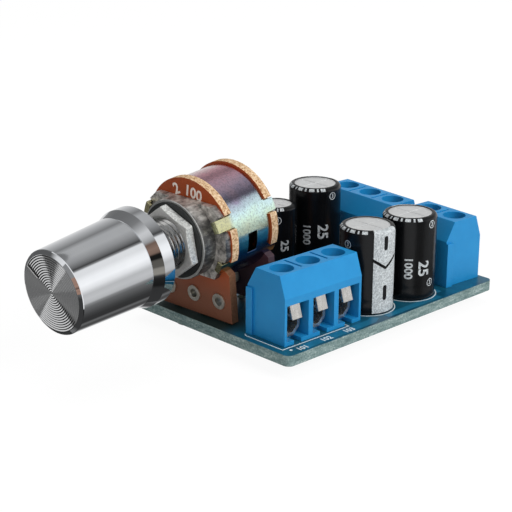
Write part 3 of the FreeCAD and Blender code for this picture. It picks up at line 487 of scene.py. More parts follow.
def ring(form, x, y, radius, width, low, high, steps=64):
    """Add a flat ring round a point of the board."""
    corners = [form.verts.new((x * MM + (radius + out) * MM, y * MM, z * MM))
               for out, z in ((0, low), (width, low), (width, high), (0, high))]
    edges = [form.edges.new((corners[i], corners[i - 1])) for i in range(4)]
    bmesh.ops.spin(form, geom=corners + edges, cent=(x * MM, y * MM, 0), axis=(0, 0, 1),
                   angle=2 * math.pi, steps=steps, use_merge=True)


FIGURE_SHARE, FIGURE_SWELL = 0.7, 0.035


def lettering(text, height, depth):
    """A mesh of raised figures, a little thickened and centred, from the built-in plain face."""
    curve = bpy.data.curves.new("figures", "FONT")
    curve.body = text
    curve.size = height * MM / FIGURE_SHARE
    curve.extrude = depth * MM / 2
    curve.align_x = "CENTER"
    curve.align_y = "CENTER"
    curve.resolution_u = 3
    curve.offset = FIGURE_SWELL * height * MM
    holder = bpy.data.objects.new("figures", curve)
    mesh = bpy.data.meshes.new_from_object(holder)
    bpy.data.objects.remove(holder)
    bpy.data.curves.remove(curve)
    return mesh


def add_figures(form, text, height, depth, matrix):
    """Add raised figures to a bmesh at a place."""
    mesh = lettering(text, height, depth)
    mesh.transform(matrix)
    form.from_mesh(mesh)
    bpy.data.meshes.remove(mesh)


def on_board(x, y, turn):
    """A place on the printed face of the board."""
    return (Matrix.Translation(Vector((x, y, (INK_LOW + INK_HIGH) / 2)) * MM)
            @ Matrix.Rotation(math.radians(turn), 4, "Z"))


BLOCK_OUTLINE = [(6.4, -8.2), (6.9, -8.54), (14.2, -8.54), (14.4, 4.7), (6.2, 4.7)]
OUTLINE_WIDTH, NUMBER_HEIGHT, NUMBER_TURN = 0.17, 0.95, 89
PIN_DOT = (15.0, -7.7)
form = bmesh.new()
ribbon(form, BLOCK_OUTLINE, OUTLINE_WIDTH, INK_LOW, INK_HIGH)
bmesh.ops.recalc_face_normals(form, faces=form.faces)
ring(form, *PIN_DOT, 0.01, 0.22, INK_LOW, INK_HIGH, 16)
CAP_SPOTS = {"front": (10.52, 22.19, 4.0), "right": (10.91, 31.18, 4.0),
             "rear": (-9.3, 31.8, 4.0), "small": (-9.6, 23.4, 3.15)}
for cap_x, cap_y, cap_radius in CAP_SPOTS.values():
    ring(form, cap_x, cap_y + board_low.y, cap_radius + 0.25, 0.16, INK_LOW, INK_HIGH)
for text, x, y in (("101", 15.5, -5.9), ("102", 15.5, -1.1), ("103", 15.5, 3.6)):
    add_figures(form, text, NUMBER_HEIGHT, INK_HIGH - INK_LOW, on_board(x, y, NUMBER_TURN))
finish_piece("board_print", form, white_ink, "board")

# Solder joints: bright tin under the board, which climbs each lead in a concave fillet. Each
# is turned round the middle of its lead and ends where the lead is cut off.
LEAD_SKIN, TIP_BAND, TIP_RISE, JOINT_SUNK = 0.12, 0.01, 0.04, 0.02
FILLET_STEPS, FILLET_SIDES, CORE_SHARE = 7, 20, 0.6
bright_solder = grained("bright_solder", (0.35, 4.0), (176, 178, 180), (226, 227, 226),
                        0.14, spread=0.25, depth=0.02, metallic=1.0)


def islands(form):
    """The separate groups of vertices of a bmesh."""
    seen = set()
    groups = []
    for start in form.verts:
        if start in seen:
            continue
        seen.add(start)
        group, front = [], [start]
        while front:
            vert = front.pop()
            group.append(vert)
            for edge in vert.link_edges:
                other = edge.other_vert(vert)
                if other not in seen:
                    seen.add(other)
                    front.append(other)
        groups.append(group)
    return groups


joint_copy = merged_copy("solder_joints")
form = bmesh.new()
for group in islands(joint_copy):
    xs = [v.co.x for v in group]
    ys = [v.co.y for v in group]
    centre = Vector(((min(xs) + max(xs)) / 2, (min(ys) + max(ys)) / 2, 0))
    high = max(v.co.z for v in group)
    low = min(v.co.z for v in group)
    wide = (max(xs) - min(xs)) / 2
    tip = [v for v in group if v.co.z < low + TIP_BAND * MM]
    thin = min((v.co - centre).xy.length for v in tip) + LEAD_SKIN * MM
    points = []
    for step in range(FILLET_STEPS + 1):
        share = step / FILLET_STEPS
        out = thin + (wide - thin) * (1 - math.sqrt(1 - share ** 2))
        rise = max((high - low) * share, TIP_RISE * MM)
        points.append(form.verts.new((centre.x + out, centre.y, low + rise)))
    for out in (wide, thin):
        points.append(form.verts.new((centre.x + out, centre.y, high + JOINT_SUNK * MM)))
    points.append(form.verts.new((centre.x + thin * CORE_SHARE, centre.y, low)))
    edges = [form.edges.new((points[i], points[i - 1])) for i in range(len(points))]
    bmesh.ops.spin(form, geom=points + edges, cent=centre, axis=(0, 0, 1),
                   angle=2 * math.pi, steps=FILLET_SIDES, use_merge=True)
joint_copy.free()
bmesh.ops.recalc_face_normals(form, faces=form.faces)
fillets = finish_piece("solder_fillets", form, bright_solder, "board")
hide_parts("solder_joints")

# Terminal blocks: polyamide housings, moulded in bright blue, with a satin skin. They stand on
# the board and are held by the pins of the cages inside.
moulding = Finish(bpy.data.materials.new("blue_polyamide"))
moulding_cloud = moulding.noise(3.0, 3.0)
moulding_grain = moulding.noise(0.12, 2.0)
blue_plastic = moulding.shade({
    "Base Color": moulding.mix(moulding_cloud, srgb(27, 131, 192), srgb(38, 146, 206)),
    "Roughness": moulding_grain * 0.12 + 0.34,
    "Normal": moulding.bump(moulding_grain, 0.006),
    "Specular IOR Level": 0.35,
    "Subsurface Weight": 0.05,
    "Subsurface Radius": (0.3 * MM, 0.6 * MM, 1.0 * MM),
    "Subsurface Scale": 1.0,
})
for block in ("input", "output", "power"):
    eased_node(block + "_housing", blue_plastic, 0.12)

# Wire cages, clamping plates and screws: one of each in every pole. Cages and plates are bent
# from nickel-plated sheet, and the screws are of zinc-plated steel.
nickel_plate = grained("nickel_plate", (0.6, 4.0, 0.7, (1, 1, 0.25)), (138, 136, 132),
                       (240, 239, 236), 0.12, spread=0.25, depth=0.02, metallic=0.9)
zinc_plate = grained("zinc_plate", (0.3, 4.0), (150, 150, 152), (206, 207, 208),
                     0.22, spread=0.3, depth=0.015, metallic=1.0)
for block, count in (("input", 3), ("output", 3), ("power", 2)):
    for pole in range(1, count + 1):
        eased_node(f"{block}_cage_{pole}", nickel_plate, 0.06)
        eased_node(f"{block}_clamp_{pole}", nickel_plate, 0.05)
        eased_node(f"{block}_screw_{pole}", zinc_plate, 0.08)

# Wafers of the volume control: punched from phenolic paper. The faces are brown with painted shade low
# down, the punched rims show pale torn fibres, and the feet carry painted shade, the rear one's grey
# as a painted shadow of the can.
pot_turn, pot_lean = math.radians(2.83), math.radians(95.05)
POT_SIDE, POT_HEIGHT = -3.97, 16.33
# The volume control's own Z runs to the knob and its own Y up.
pot = (Matrix.Translation(Vector((POT_SIDE, board_low.y, POT_HEIGHT)) * MM)
       @ Matrix.Rotation(pot_turn, 4, "Z") @ Matrix.Rotation(pot_lean, 4, "X"))
pot_axis = pot.to_3x3() @ Vector((0, 0, 1))


def along_pot(finish, column):
    """How far a point lies along an axis of the volume control, in millimetres."""
    axis = Vector(pot.col[column][:3])
    far = finish.add("ShaderNodeVectorMath", {"operation": "DOT_PRODUCT"},
                     {0: finish.place(), 1: tuple(axis)}, "Value")
    return (far - axis.dot(pot.translation)) * (1 / MM)


FOOT_TOP, REAR_WAFER = 13.0, -5.0
paper_card = Finish(bpy.data.materials.new("phenolic_paper"))
card_rim = paper_card.fade(abs(paper_card.facing(*pot_axis)), 0.4, 0.7, 1.0, 0.0)
card_cloud = paper_card.noise(2.5, 4.0)
card_fibre = paper_card.noise(0.35, 5.0, 0.75)
card_low = paper_card.add("ShaderNodeSeparateXYZ", {}, {0: paper_card.place()}, "Z")
# Painted shade: the faces turn a darker, duller brown low down, from 15 mm in height down to 7 mm.
card_face_out_of_shade = paper_card.fade(card_low + card_cloud * (2 * MM), 7 * MM, 15 * MM)
card_face = paper_card.mix(card_face_out_of_shade, srgb(124, 78, 58), srgb(170, 76, 32))
card_torn = paper_card.ramp(card_fibre, [(0.36, srgb(128, 86, 58)), (0.46, srgb(198, 162, 122)),
                                         (0.62, srgb(236, 212, 180))])
# Painted shade: below FOOT_TOP the rims of the feet are painted a dark brown.
card_above = paper_card.fade(card_low, FOOT_TOP * MM, (FOOT_TOP + 0.6) * MM)
card_foot_shade = paper_card.mix(card_fibre, srgb(70, 46, 34), srgb(150, 108, 80))
card_torn = paper_card.mix(card_above, card_foot_shade, card_torn)
card_colour = paper_card.mix(card_rim, card_face, card_torn)
# Painted shadow of the can: the rear wafer's foot is painted grey-violet on its front and rims.
card_rear_can_shadow = (along_pot(paper_card, 2) < REAR_WAFER) * (paper_card.facing(*pot_axis) > -0.5)
card_colour = paper_card.mix(card_rear_can_shadow * (1 - card_above) * 0.8, card_colour, srgb(70, 62, 76))
phenolic = paper_card.shade({
    "Base Color": card_colour,
    "Roughness": card_rim * 0.3 + 0.48,
    "Specular IOR Level": 0.25,
    "Normal": paper_card.bump(card_fibre, 0.05, 0.8),
})
for end in ("front", "rear"):
    eased_node(end + "_wafer", phenolic, 0.06)

# Figures on the front wafer: a plain 2 and 100 in warm white ink, a thin film on the card
# above the front plate.
WAFER_FACE, VALUE_HEIGHT, VALUE_DEPTH = -0.63, 1.6, 0.03
form = bmesh.new()
for text, angle, out in (("2", 110, 6.6), ("100", 80, 6.25)):
    spin = Matrix.Rotation(math.radians(angle - 90), 4, "Z")
    lift = Matrix.Translation(Vector((0, out, WAFER_FACE + 0.012)) * MM)
    add_figures(form, text, VALUE_HEIGHT, VALUE_DEPTH, pot @ spin @ lift)
warm_ink = grained("warm_white_ink", (0.3,), (250, 232, 218), (255, 246, 238), 0.5)
finish_piece("wafer_print", form, warm_ink, "board")

# Tags and hollow rivets of the wafers: tinned brass. The rivets hold the tags on the feet, and
# the tags go down through the board.
tinned_brass = grained("tinned_brass", (0.25, 4.0), (196, 191, 178), (245, 242, 233),
                       0.2, spread=0.35, depth=0.02, metallic=1.0)
for end in ("front", "rear"):
    eased_node(end + "_terminals", tinned_brass, 0.06)

# Metal can of the volume control: thin steel, yellow-passivated, so that it shows pink, cyan and
# yellow clouds.
# Round its axis the colour also holds a pale band as painted highlight and navy underneath as painted
# shade. Its tabs are bent over the front plate.
passivated = Finish(bpy.data.materials.new("passivated_zinc"))
film_cloud = passivated.noise(3.2, 4.0, 0.6)
film_spots = passivated.noise(0.3, 4.0, 0.7)
can_right, can_up = along_pot(passivated, 0), along_pot(passivated, 1)
can_angle = can_up.math("ARCTAN2", can_up, can_right) * (180 / math.pi) + film_cloud * 40 - 20
# Colour by the angle round the axis: the pink top and the clouds are the film's own, the pale
# cyan-white band from about -8 to 38 degrees is a painted highlight, and the darkening to navy below
# is painted shade.
FILM_AND_LIGHT = [(-60, srgb(58, 60, 88)), (-30, srgb(66, 86, 140)), (-20, srgb(98, 130, 174)),
        (-8, srgb(170, 198, 190)), (6, srgb(208, 222, 198)), (18, srgb(204, 230, 214)),
        (27, srgb(202, 230, 232)), (38, srgb(190, 208, 220)), (46, srgb(176, 168, 196)),
        (60, srgb(206, 180, 200)), (74, srgb(226, 178, 194)), (90, srgb(238, 174, 188)),
        (106, srgb(232, 208, 208)), (122, srgb(236, 222, 222))]
film_and_light_colour = passivated.ramp((can_angle + 180) * (1 / 360),
                              [((angle + 180) / 360, colour) for angle, colour in FILM_AND_LIGHT])
can_place = along_pot(passivated, 2)
film_front = passivated.fade(can_place + film_cloud * 1.5, -1.6, -0.2)
film_and_light_colour = passivated.mix(film_front * 0.85, film_and_light_colour, srgb(198, 192, 138))
passivated_steel = passivated.shade({
    "Base Color": passivated.mix(passivated.fade(film_spots, 0.42, 0.72, 0.0, 0.5), film_and_light_colour,
                                 srgb(110, 112, 124)),
    "Metallic": passivated.fade(can_angle, -66, -36, 0.4, 1.0),
    "Roughness": film_spots * 0.16 + 0.1,
    "Normal": passivated.bump(film_spots, 0.012),
})
eased_node("pot_can", passivated_steel, 0.08)

# Front plate and boss: a zinc die casting with a cloudy grey skin, with painted light making it
# brighter on the front and on what faces up. The boss behind the nut is part of it.
casting = Finish(bpy.data.materials.new("zinc_casting"))
casting_cloud = casting.noise(0.9, 4.0, 0.65, (1, 0.5, 1))
casting_grain = casting.noise(0.22, 3.0)
# Painted light: faces towards the knob and faces turned up take the lighter skin.
casting_front_light = casting.fade(casting.facing(*pot_axis), 0.7, 0.95)
casting_top_light = casting.fade(casting.facing(0, 0, 1), 0.35, 0.95)
casting_skin = casting.ramp(casting_cloud, [(0.34, srgb(68, 69, 69)), (0.5, srgb(98, 98, 97)),
                                            (0.68, srgb(166, 166, 163))])
casting_lit_skin = casting.ramp(casting_cloud, [(0.34, srgb(130, 128, 125)),
                                              (0.48, srgb(206, 201, 195)),
                                              (0.62, srgb(252, 248, 242))])
zinc_casting = casting.shade({
    "Base Color": casting.mix(casting_front_light * 0.85 + casting_top_light * 0.7, casting_skin,
                              casting_lit_skin),
    "Metallic": 0.7,
    "Roughness": casting_grain * 0.25 + 0.3,
    "Normal": casting.bump(casting_grain * 0.5 + casting_cloud * 0.5, 0.03),
})
BOSS_FRONT, BUSHING_FRONT, PLATE_TOP = 2.6, 8.9, 5.35


def cut(form, place, normal, keep_behind=True):
    """Cut a bmesh by a plane, drop what is past it or behind it, and give the cut's edges."""
    result = bmesh.ops.bisect_plane(form, geom=form.verts[:] + form.edges[:] + form.faces[:],
                                    plane_co=place, plane_no=normal, clear_outer=keep_behind,
                                    clear_inner=not keep_behind)
    return [e for e in result["geom_cut"] if isinstance(e, bmesh.types.BMEdge)]


plate = merged_copy("front_plate")
pot_up = pot.to_3x3() @ Vector((0, 1, 0))
cut(plate, pot @ Vector((0, PLATE_TOP * MM, 0)), pot_up)
bmesh.ops.holes_fill(plate, edges=[e for e in plate.edges if e.is_boundary], sides=0)
boss_rim = cut(plate, pot @ Vector((0, 0, (BOSS_FRONT + 0.01) * MM)), pot_axis)
bmesh.ops.bridge_loops(plate, edges=boss_rim)
bmesh.ops.recalc_face_normals(plate, faces=plate.faces)
plate_piece = finish_piece("front_plate_casting", plate, zinc_casting, "board",
                           ease=0.1, crease=28)
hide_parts("front_plate")

# Bushing of the volume control: the front of the same casting, with a rolled M7 thread of
# 0.75 mm pitch whose crests are flat and bright. Its bore guides the shaft.
THREAD_PITCH, THREAD_OUTER, THREAD_INNER, BORE = 0.75, 3.5, 3.12, 3.05
THREAD_FORM = [(THREAD_INNER, 0.0), (THREAD_INNER, 0.12), (THREAD_OUTER, 0.48),
               (THREAD_OUTER, 0.62)]
THREAD_STEPS, THREAD_WELD = 72, 0.002
form = bmesh.new()
crests = int((BUSHING_FRONT - BOSS_FRONT) / THREAD_PITCH) + 3
turn_points = []
for number in range(crests):
    start = BOSS_FRONT - THREAD_PITCH + number * THREAD_PITCH
    for radius, share in THREAD_FORM:
        turn_points.append(form.verts.new((radius * MM, 0, (start + share * THREAD_PITCH) * MM)))
edges = [form.edges.new(pair) for pair in zip(turn_points, turn_points[1:])]
bmesh.ops.spin(form, geom=turn_points + edges, cent=(0, 0, 0), axis=(0, 0, 1),
               dvec=(0, 0, THREAD_PITCH / THREAD_STEPS * MM), angle=2 * math.pi,
               steps=THREAD_STEPS)
bmesh.ops.remove_doubles(form, verts=form.verts, dist=THREAD_WELD * MM)
for height, keep_below in ((BOSS_FRONT - 0.05, False), (BUSHING_FRONT, True)):
    loop = cut(form, (0, 0, height * MM), (0, 0, 1), keep_below)
    grown = bmesh.ops.extrude_edge_only(form, edges=loop)["geom"]
    for vert in (v for v in grown if isinstance(v, bmesh.types.BMVert)):
        vert.co.xy = vert.co.xy.normalized() * BORE * MM
inner = [e for e in form.edges if e.is_boundary]
bmesh.ops.bridge_loops(form, edges=inner)
bmesh.ops.recalc_face_normals(form, faces=form.faces)
bmesh.ops.transform(form, matrix=pot, verts=form.verts)
rolled_zinc = grained("rolled_thread", (0.25, 4.0), (168, 168, 168), (212, 212, 210),
                      0.12, spread=0.1, metallic=1.0)
finish_piece("bushing_thread", form, rolled_zinc, "board")


# Lock washer: a dark steel ring with eased edges, which the nut presses
# against the boss.
SPUN_WELD = 0.0005


def spun(profile, steps):
    """A bmesh of a profile of (radius, height) points in mm turned about Z."""
    form = bmesh.new()
    points = [form.verts.new((radius * MM, 0, height * MM)) for radius, height in profile]
    edges = [form.edges.new(pair) for pair in zip(points, points[1:])]
    if profile[0][0] > 0:
        edges.append(form.edges.new((points[-1], points[0])))
    bmesh.ops.spin(form, geom=points + edges, cent=(0, 0, 0), axis=(0, 0, 1),
                   angle=2 * math.pi, steps=steps, use_merge=True)
    bmesh.ops.remove_doubles(form, verts=form.verts, dist=SPUN_WELD * MM)
    bmesh.ops.recalc_face_normals(form, faces=form.faces)
    return form


def spun_on_pot(profile, steps):
    """The same, turned about the volume control's own axis."""
    form = spun(profile, steps)
    bmesh.ops.transform(form, matrix=pot, verts=form.verts)
    return form


washer_dark_steel = grained("dark_washer_steel", (0.3, 3.0), (38, 40, 40), (74, 76, 76),
                    0.4, spread=0.3, metallic=0.7)
WASHER = [(3.66, 2.64), (5.54, 2.64), (5.6, 2.7), (5.6, 2.94), (5.54, 3.0), (3.66, 3.0)]
washer = finish_piece("dark_washer", spun_on_pot(WASHER, 96), washer_dark_steel, "board")
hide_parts("lock_washer")

# Turned rim of the boss: the edge round the washer, where the casting was machined and is
# brighter than its skin.
machined_zinc = grained("machined_zinc", (0.3,), (158, 159, 157), (196, 197, 194), 0.3,
                        metallic=0.5)
BOSS_RIM = [(5.5, 2.5), (5.86, 2.5), (5.92, 2.56), (5.92, 2.62), (5.86, 2.68), (5.5, 2.68)]
finish_piece("boss_rim", spun_on_pot(BOSS_RIM, 96), machined_zinc, "board")

# Hexagon nut: galvanised steel, whose side faces show the small grains of the zinc and whose
# chamfered front is more even.
spangle = Finish(bpy.data.materials.new("galvanised_steel"))
spangle_cells = spangle.add("ShaderNodeTexVoronoi", {"feature": "F1"},
                            {"Vector": spangle.place(), "Scale": 1 / (0.22 * MM)}, "Color")
spangle_level = spangle.add("ShaderNodeSeparateColor", {}, {0: spangle_cells})
spangle_fine = spangle.noise(0.12, 3.0)
spangle_front = spangle.fade(spangle.facing(*pot_axis), 0.8, 0.95)
spangle_zinc = spangle.mix(spangle_level, srgb(196, 198, 195), srgb(246, 248, 245))
galvanised = spangle.shade({
    "Base Color": spangle.mix(spangle_front * 0.75, spangle_zinc, srgb(214, 213, 210)),
    "Metallic": 0.55,
    "Roughness": spangle_level * 0.2 + 0.32,
    "Normal": spangle.bump(spangle_fine, 0.015),
})
eased_node("hex_nut", galvanised, 0.12)

# Shaft and wiper rotors: a split shaft of turned steel that goes from the knob through both
# wafers, and two rotors moulded in black plastic, which turn with it.
turned_steel = grained("turned_steel", (0.2, 3.0, 0.6, (1, 0.1, 1)), (150, 151, 154),
                       (200, 201, 203), 0.22, spread=0.2, metallic=1.0)
eased_node("shaft", turned_steel, 0.08)
rotor_black = grained("rotor_plastic", (0.8,), (26, 27, 29), (44, 45, 47), 0.5)
for end in ("front", "rear"):
    eased_node(end + "_wiper", rotor_black, 0.1)

# Knob: turned from aluminium and bright-plated: a flange that flares in to a neck, a long
# body that tapers a little, and a bevelled rim round the end disc.
bright_chrome = grained("bright_chrome", (5.0, 3.0), (216, 219, 223), (228, 230, 233),
                        0.02, spread=0.03, metallic=1.0)
KNOB = [(3.01, 10.62), (5.4, 10.62), (5.4, 9.42), (7.05, 9.42), (7.13, 9.5), (7.13, 11.34),
        (7.10, 11.42), (6.45, 12.9), (6.39, 12.94), (6.39, 13.02), (6.46, 13.05),
        (6.52, 13.12), (6.0, 24.88), (5.94, 24.98), (5.45, 25.28), (5.41, 25.28),
        (5.41, 24.7), (0.001, 24.7), (0.001, 21.42), (3.01, 21.42)]
knob_piece = finish_piece("knob_turning", spun_on_pot(KNOB, 160), bright_chrome, "knob",
                          crease=20)
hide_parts("knob_shell")

# End disc of the knob: thin aluminium, turned with 16 fine ridges that spread the light. It
# lies in the knob's front, inside the rim.
RINGS, DISC_RADIUS, DISC_FACE, DISC_LOW, RING_DEPTH = 16, 5.4, 25.3, 24.7, 0.055
disc_profile = [(0, DISC_LOW), (DISC_RADIUS, DISC_LOW), (DISC_RADIUS, DISC_FACE - 0.02)]
ring_step = (DISC_RADIUS - 0.06) / RINGS
for number in range(RINGS, 0, -1):
    outer = number * ring_step
    disc_profile += [(outer, DISC_FACE), (outer - ring_step * 0.5, DISC_FACE - RING_DEPTH)]
disc_profile.append((0, DISC_FACE - 0.01))
spun_aluminium = grained("spun_aluminium", (0.4, 3.0), (206, 207, 208), (226, 227, 228),
                         0.06, spread=0.05, metallic=1.0)
disc = finish_piece("knob_end_disc", spun_on_pot(disc_profile, 192), spun_aluminium, "knob",
                    crease=12)
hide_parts("knob_insert")

# Pointer of the knob: a line cut from the rim inwards, drawn as a thin black bar that is painted shade
# in the groove, with a thin bright bar beside it on the lower lip as painted highlight.
POINTER_TURN, POINTER_START, POINTER_END = 145.0, 3.05, 5.3
LINE_WIDTH, LIP_WIDTH, LIP_ASIDE = 0.26, 0.14, 0.24


def pointer_line(width, aside, high):
    """A thin bar along the pointer's direction, beside its middle."""
    form = bmesh.new()
    length = POINTER_END - POINTER_START
    shape = (Matrix.Rotation(math.radians(POINTER_TURN), 4, "Z")
             @ Matrix.Translation(Vector(((POINTER_START + POINTER_END) / 2, aside, high)) * MM)
             @ Matrix.Diagonal((length * MM, width * MM, 0.1 * MM, 1)))
    bmesh.ops.create_cube(form, size=1.0, matrix=pot @ shape)
    return form


# Painted shade: the black bar stands for the groove's shaded wall.
groove_shade_black = grained("groove_shade_black", (0.3,), (8, 8, 9), (20, 20, 22), 0.3)
finish_piece("pointer_line", pointer_line(LINE_WIDTH, 0.0, DISC_FACE - 0.03),
             groove_shade_black, "knob")
# Painted highlight: the bright bar stands for light on the groove's lower lip.
groove_highlight = grained("groove_highlight", (0.3,), (236, 236, 236), (252, 252, 252), 0.3, metallic=0.3)
finish_piece("pointer_lip", pointer_line(LIP_WIDTH, LIP_ASIDE, DISC_FACE - 0.035),
             groove_highlight, "knob")

# Electrolytic capacitors: drawn aluminium cans with a cross-shaped vent in the top, in black
# shrunk sleeves whose lip is rolled over the shoulder.
can_aluminium = grained("can_aluminium", (1.2, 5.0), (222, 224, 225), (250, 251, 251),
                        0.28, spread=0.3, depth=0.03, metallic=0.6)
black_sleeve = grained("black_sleeve", (1.5, 3.0), (7, 8, 10), (15, 17, 20),
                       0.2, spread=0.1, depth=0.03, shine=0.24)
seal_rubber = grained("seal_rubber", (0.5,), (24, 24, 24), (44, 43, 42), 0.75)
SLEEVE_SKIN, SLEEVE_GAP, LIP_ROUND = 0.09, 0.012, 0.62
CAP_HEIGHTS = {"front": 12.7, "right": 12.7, "rear": 12.7, "small": 11.0}
sleeve_lines = {}
for cap, (cap_x, cap_y, cap_radius) in CAP_SPOTS.items():
    eased_node(cap + "_capacitor_can", can_aluminium, 0.04)
    height = CAP_HEIGHTS[cap]
    skin, bore = cap_radius + SLEEVE_SKIN, cap_radius + SLEEVE_GAP
    middle, shoulder = skin - LIP_ROUND, height + SLEEVE_SKIN - LIP_ROUND
    bend = [(middle + LIP_ROUND * math.cos(a), shoulder + LIP_ROUND * math.sin(a))
            for a in (math.radians(10 * step) for step in range(10))]
    waist = [(skin - 0.08, 0.05), (skin, 0.25), (skin, 1.25), (skin - 0.02, 1.5),
             (skin - 0.05, 1.85), (skin - 0.02, 2.2), (skin, 2.5)]
    lip = [(middle - 0.16, height + 0.10), (middle - 0.22, height + 0.05),
           (middle - 0.18, height + 0.005)]
    inner = [(bore - 0.5, height + 0.005), (bore, height - 0.5), (bore, 0.05)]
    form = spun(waist + bend + lip + inner, 96)
    spot = Matrix.Translation(Vector((cap_x, cap_y + board_low.y, board_top)) * MM)
    bmesh.ops.transform(form, matrix=spot, verts=form.verts)
    piece = finish_piece(cap + "_shrunk_sleeve", form, black_sleeve, "board")
    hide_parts(cap + "_capacitor_sleeve")
    frame["nodes"][cap + "_capacitor_seal"].material_slots[0].material = seal_rubber
    sleeve_lines[cap] = waist[1:] + bend + lip[:1]

# Print on the sleeves: a silver stripe on the side of the negative lead, broken by a chevron,
# and plain figures. It is a film of ink that follows the sleeve.
silver = Finish(bpy.data.materials.new("silver_ink"))
silver_specks = silver.noise(0.25, 4.0, 0.7)
silver_ink = silver.shade({
    "Base Color": silver.mix(silver.fade(silver_specks, 0.35, 0.65), srgb(150, 156, 160),
                             srgb(214, 220, 222)),
    "Roughness": 0.42,
})
STRIPE_HALF, INK_LIFT = 32, 0.015
CHEVRON_TURN = STRIPE_HALF * 0.0176
ARC_STEP, WRAP_STEP, WRAP_CUTS = 5, 0.4, 10


def spun_part(form, line, x, y, start, end, lift):
    """Turn an outline of (radius, height) points round a capacitor through part of a turn."""
    points = []
    for radius, height in line:
        away = (radius + lift) * MM
        points.append(form.verts.new((x * MM + away, y * MM, (board_top + height) * MM)))
    edges = [form.edges.new(pair) for pair in zip(points, points[1:])]
    middle = Vector((x, y, 0)) * MM
    bmesh.ops.rotate(form, verts=points, cent=middle,
                     matrix=Matrix.Rotation(math.radians(start), 3, "Z"))
    bmesh.ops.spin(form, geom=points + edges, cent=middle, axis=(0, 0, 1),
                   angle=math.radians(end - start), steps=max(2, int((end - start) / ARC_STEP)))


def wrap_mark(form, flat, x, y, radius, facing, height):
    """Bend a flat mark round a sleeve, with its middle at an angle and a height."""
    for step in range(-WRAP_CUTS, WRAP_CUTS + 1):
        bmesh.ops.bisect_plane(flat, geom=flat.verts[:] + flat.edges[:] + flat.faces[:],
                               plane_co=(step * WRAP_STEP * MM, 0, 0), plane_no=(1, 0, 0))
    for vert in flat.verts:
        turn = math.radians(facing) + vert.co.x / (radius * MM)
        out = radius * MM + vert.co.z
        vert.co = (x * MM + out * math.cos(turn), y * MM + out * math.sin(turn),
                   vert.co.y + (board_top + height) * MM)
    mesh = bpy.data.meshes.new("mark")
    flat.to_mesh(mesh)
    flat.free()
    form.from_mesh(mesh)
    bpy.data.meshes.remove(mesh)


def figures(text, size, turn=0):
    """Flat figures for a sleeve."""
    flat = bmesh.new()
    add_figures(flat, text, size, 0.03, Matrix.Rotation(math.radians(turn), 4, "Z"))
    return flat


def slot_mark(width, length):
    """A flat oblong with round ends."""
    flat = bmesh.new()
    bmesh.ops.create_circle(flat, cap_ends=True, segments=24, radius=width / 2 * MM)
    for vert in flat.verts:
        vert.co.y += math.copysign((length - width) / 2 * MM, vert.co.y)
    return flat


def chevron_mark(half, drop, width):
    """A flat chevron that points down."""
    flat = bmesh.new()
    corners = [(-half, width), (-half, 0), (0, -drop), (half, 0), (half, width), (0, width - drop)]
    verts = [flat.verts.new((cx * MM, cy * MM, 0)) for cx, cy in corners]
    flat.faces.new((verts[0], verts[1], verts[2], verts[5]))
    flat.faces.new((verts[5], verts[2], verts[3], verts[4]))
    return flat


def ring_mark(radius, width):
    """A flat thin ring."""
    flat = bmesh.new()
    for size in (radius, radius - width):
        bmesh.ops.create_circle(flat, segments=28, radius=size * MM)
    bmesh.ops.bridge_loops(flat, edges=flat.edges)
    return flat


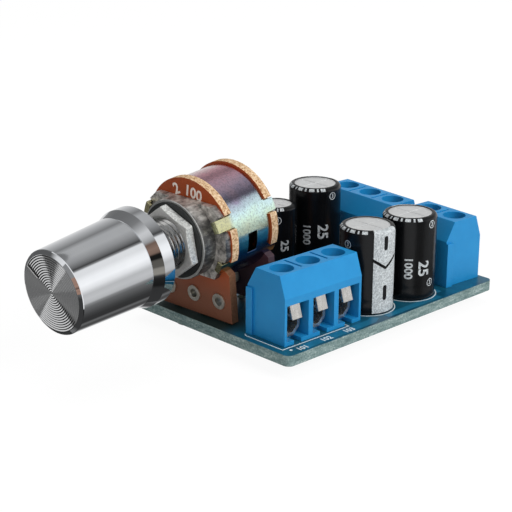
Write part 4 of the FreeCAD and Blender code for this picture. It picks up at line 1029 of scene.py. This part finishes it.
STRIPES = {"front": -3, "right": 150, "rear": 120, "small": 170}
RING_PLACES = {"front": [(-92, 10.5)], "right": [(3, 11.7), (3, 2.6)], "rear": [(-4, 11.5)],
               "small": [(-40, 9.2)]}
FIGURES = {"right": [("1000", 1.2, -50, 5.2), ("25", 1.7, -17, 5.0)],
           "rear": [("1000", 1.2, -64, 5.4), ("25", 1.7, -28, 5.8)],
           "small": [("25", 1.3, -20, 5.0)]}
DASHES = [(-140, -132), (-126, -121), (-116, -104), (-97, -93), (-88, -76), (-70, -66),
          (-60, -48), (-42, -38), (-33, -22)]
light_print, dark_print = bmesh.new(), bmesh.new()
for cap, (cap_x, cap_y, cap_radius) in CAP_SPOTS.items():
    cap_y += board_low.y
    skin = cap_radius + SLEEVE_SKIN
    top = CAP_HEIGHTS[cap]
    stripe_turn = STRIPES[cap]
    spun_part(light_print, sleeve_lines[cap], cap_x, cap_y, stripe_turn - STRIPE_HALF,
              stripe_turn + STRIPE_HALF, INK_LIFT)
    for mark, height in ((slot_mark(0.7, 2.2), top - 1.8), (slot_mark(0.7, 2.3), top * 0.26),
                         (chevron_mark(CHEVRON_TURN * skin, 1.5, 0.5), top * 0.66)):
        wrap_mark(dark_print, mark, cap_x, cap_y, skin + INK_LIFT * 2, stripe_turn - 4, height)
    for ring_turn, height in RING_PLACES[cap]:
        wrap_mark(light_print, ring_mark(0.62, 0.13), cap_x, cap_y, skin + INK_LIFT, ring_turn, height)
        wrap_mark(light_print, figures("3", 0.62), cap_x, cap_y, skin, ring_turn, height)
    for text, size, turn, height in FIGURES.get(cap, []):
        wrap_mark(light_print, figures(text, size, -90), cap_x, cap_y, skin, turn, height)
    shoulder = [point for point in sleeve_lines[cap] if top - 0.42 < point[1] < top + 0.06]
    for start, end in DASHES:
        if abs(start - stripe_turn) > STRIPE_HALF + 8:
            spun_part(light_print, shoulder, cap_x, cap_y, start, end, INK_LIFT)
for name, form, material in (("sleeve_print", light_print, silver_ink),
                             ("sleeve_print_gaps", dark_print, black_sleeve)):
    bmesh.ops.recalc_face_normals(form, faces=form.faces)
    finish_piece(name, form, material, "board", crease=50)

# Hidden between the blocks: the amplifier chip in moulded epoxy, its tinned legs, and two
# ceramic capacitors that were dipped in ochre lacquer. All are soldered to the board.
tinned_wire = grained("tinned_wire", (0.4, 3.0), (182, 182, 180), (222, 222, 220),
                      0.2, spread=0.25, metallic=1.0)
for node in ("capacitor_leads", "chip_legs"):
    frame["nodes"][node].material_slots[0].material = tinned_wire
moulded_epoxy = grained("moulded_epoxy", (0.2, 3.0), (26, 27, 29), (42, 43, 45),
                        0.5, spread=0.15, depth=0.02)
eased_node("amplifier_chip", moulded_epoxy, 0.08)
dipped_ceramic = grained("dipped_ceramic", (1.0, 3.0), (190, 128, 58), (214, 152, 76),
                         0.3, spread=0.15, depth=0.05)
eased_node("ceramic_capacitors", dipped_ceramic, 0.4, segments=4)
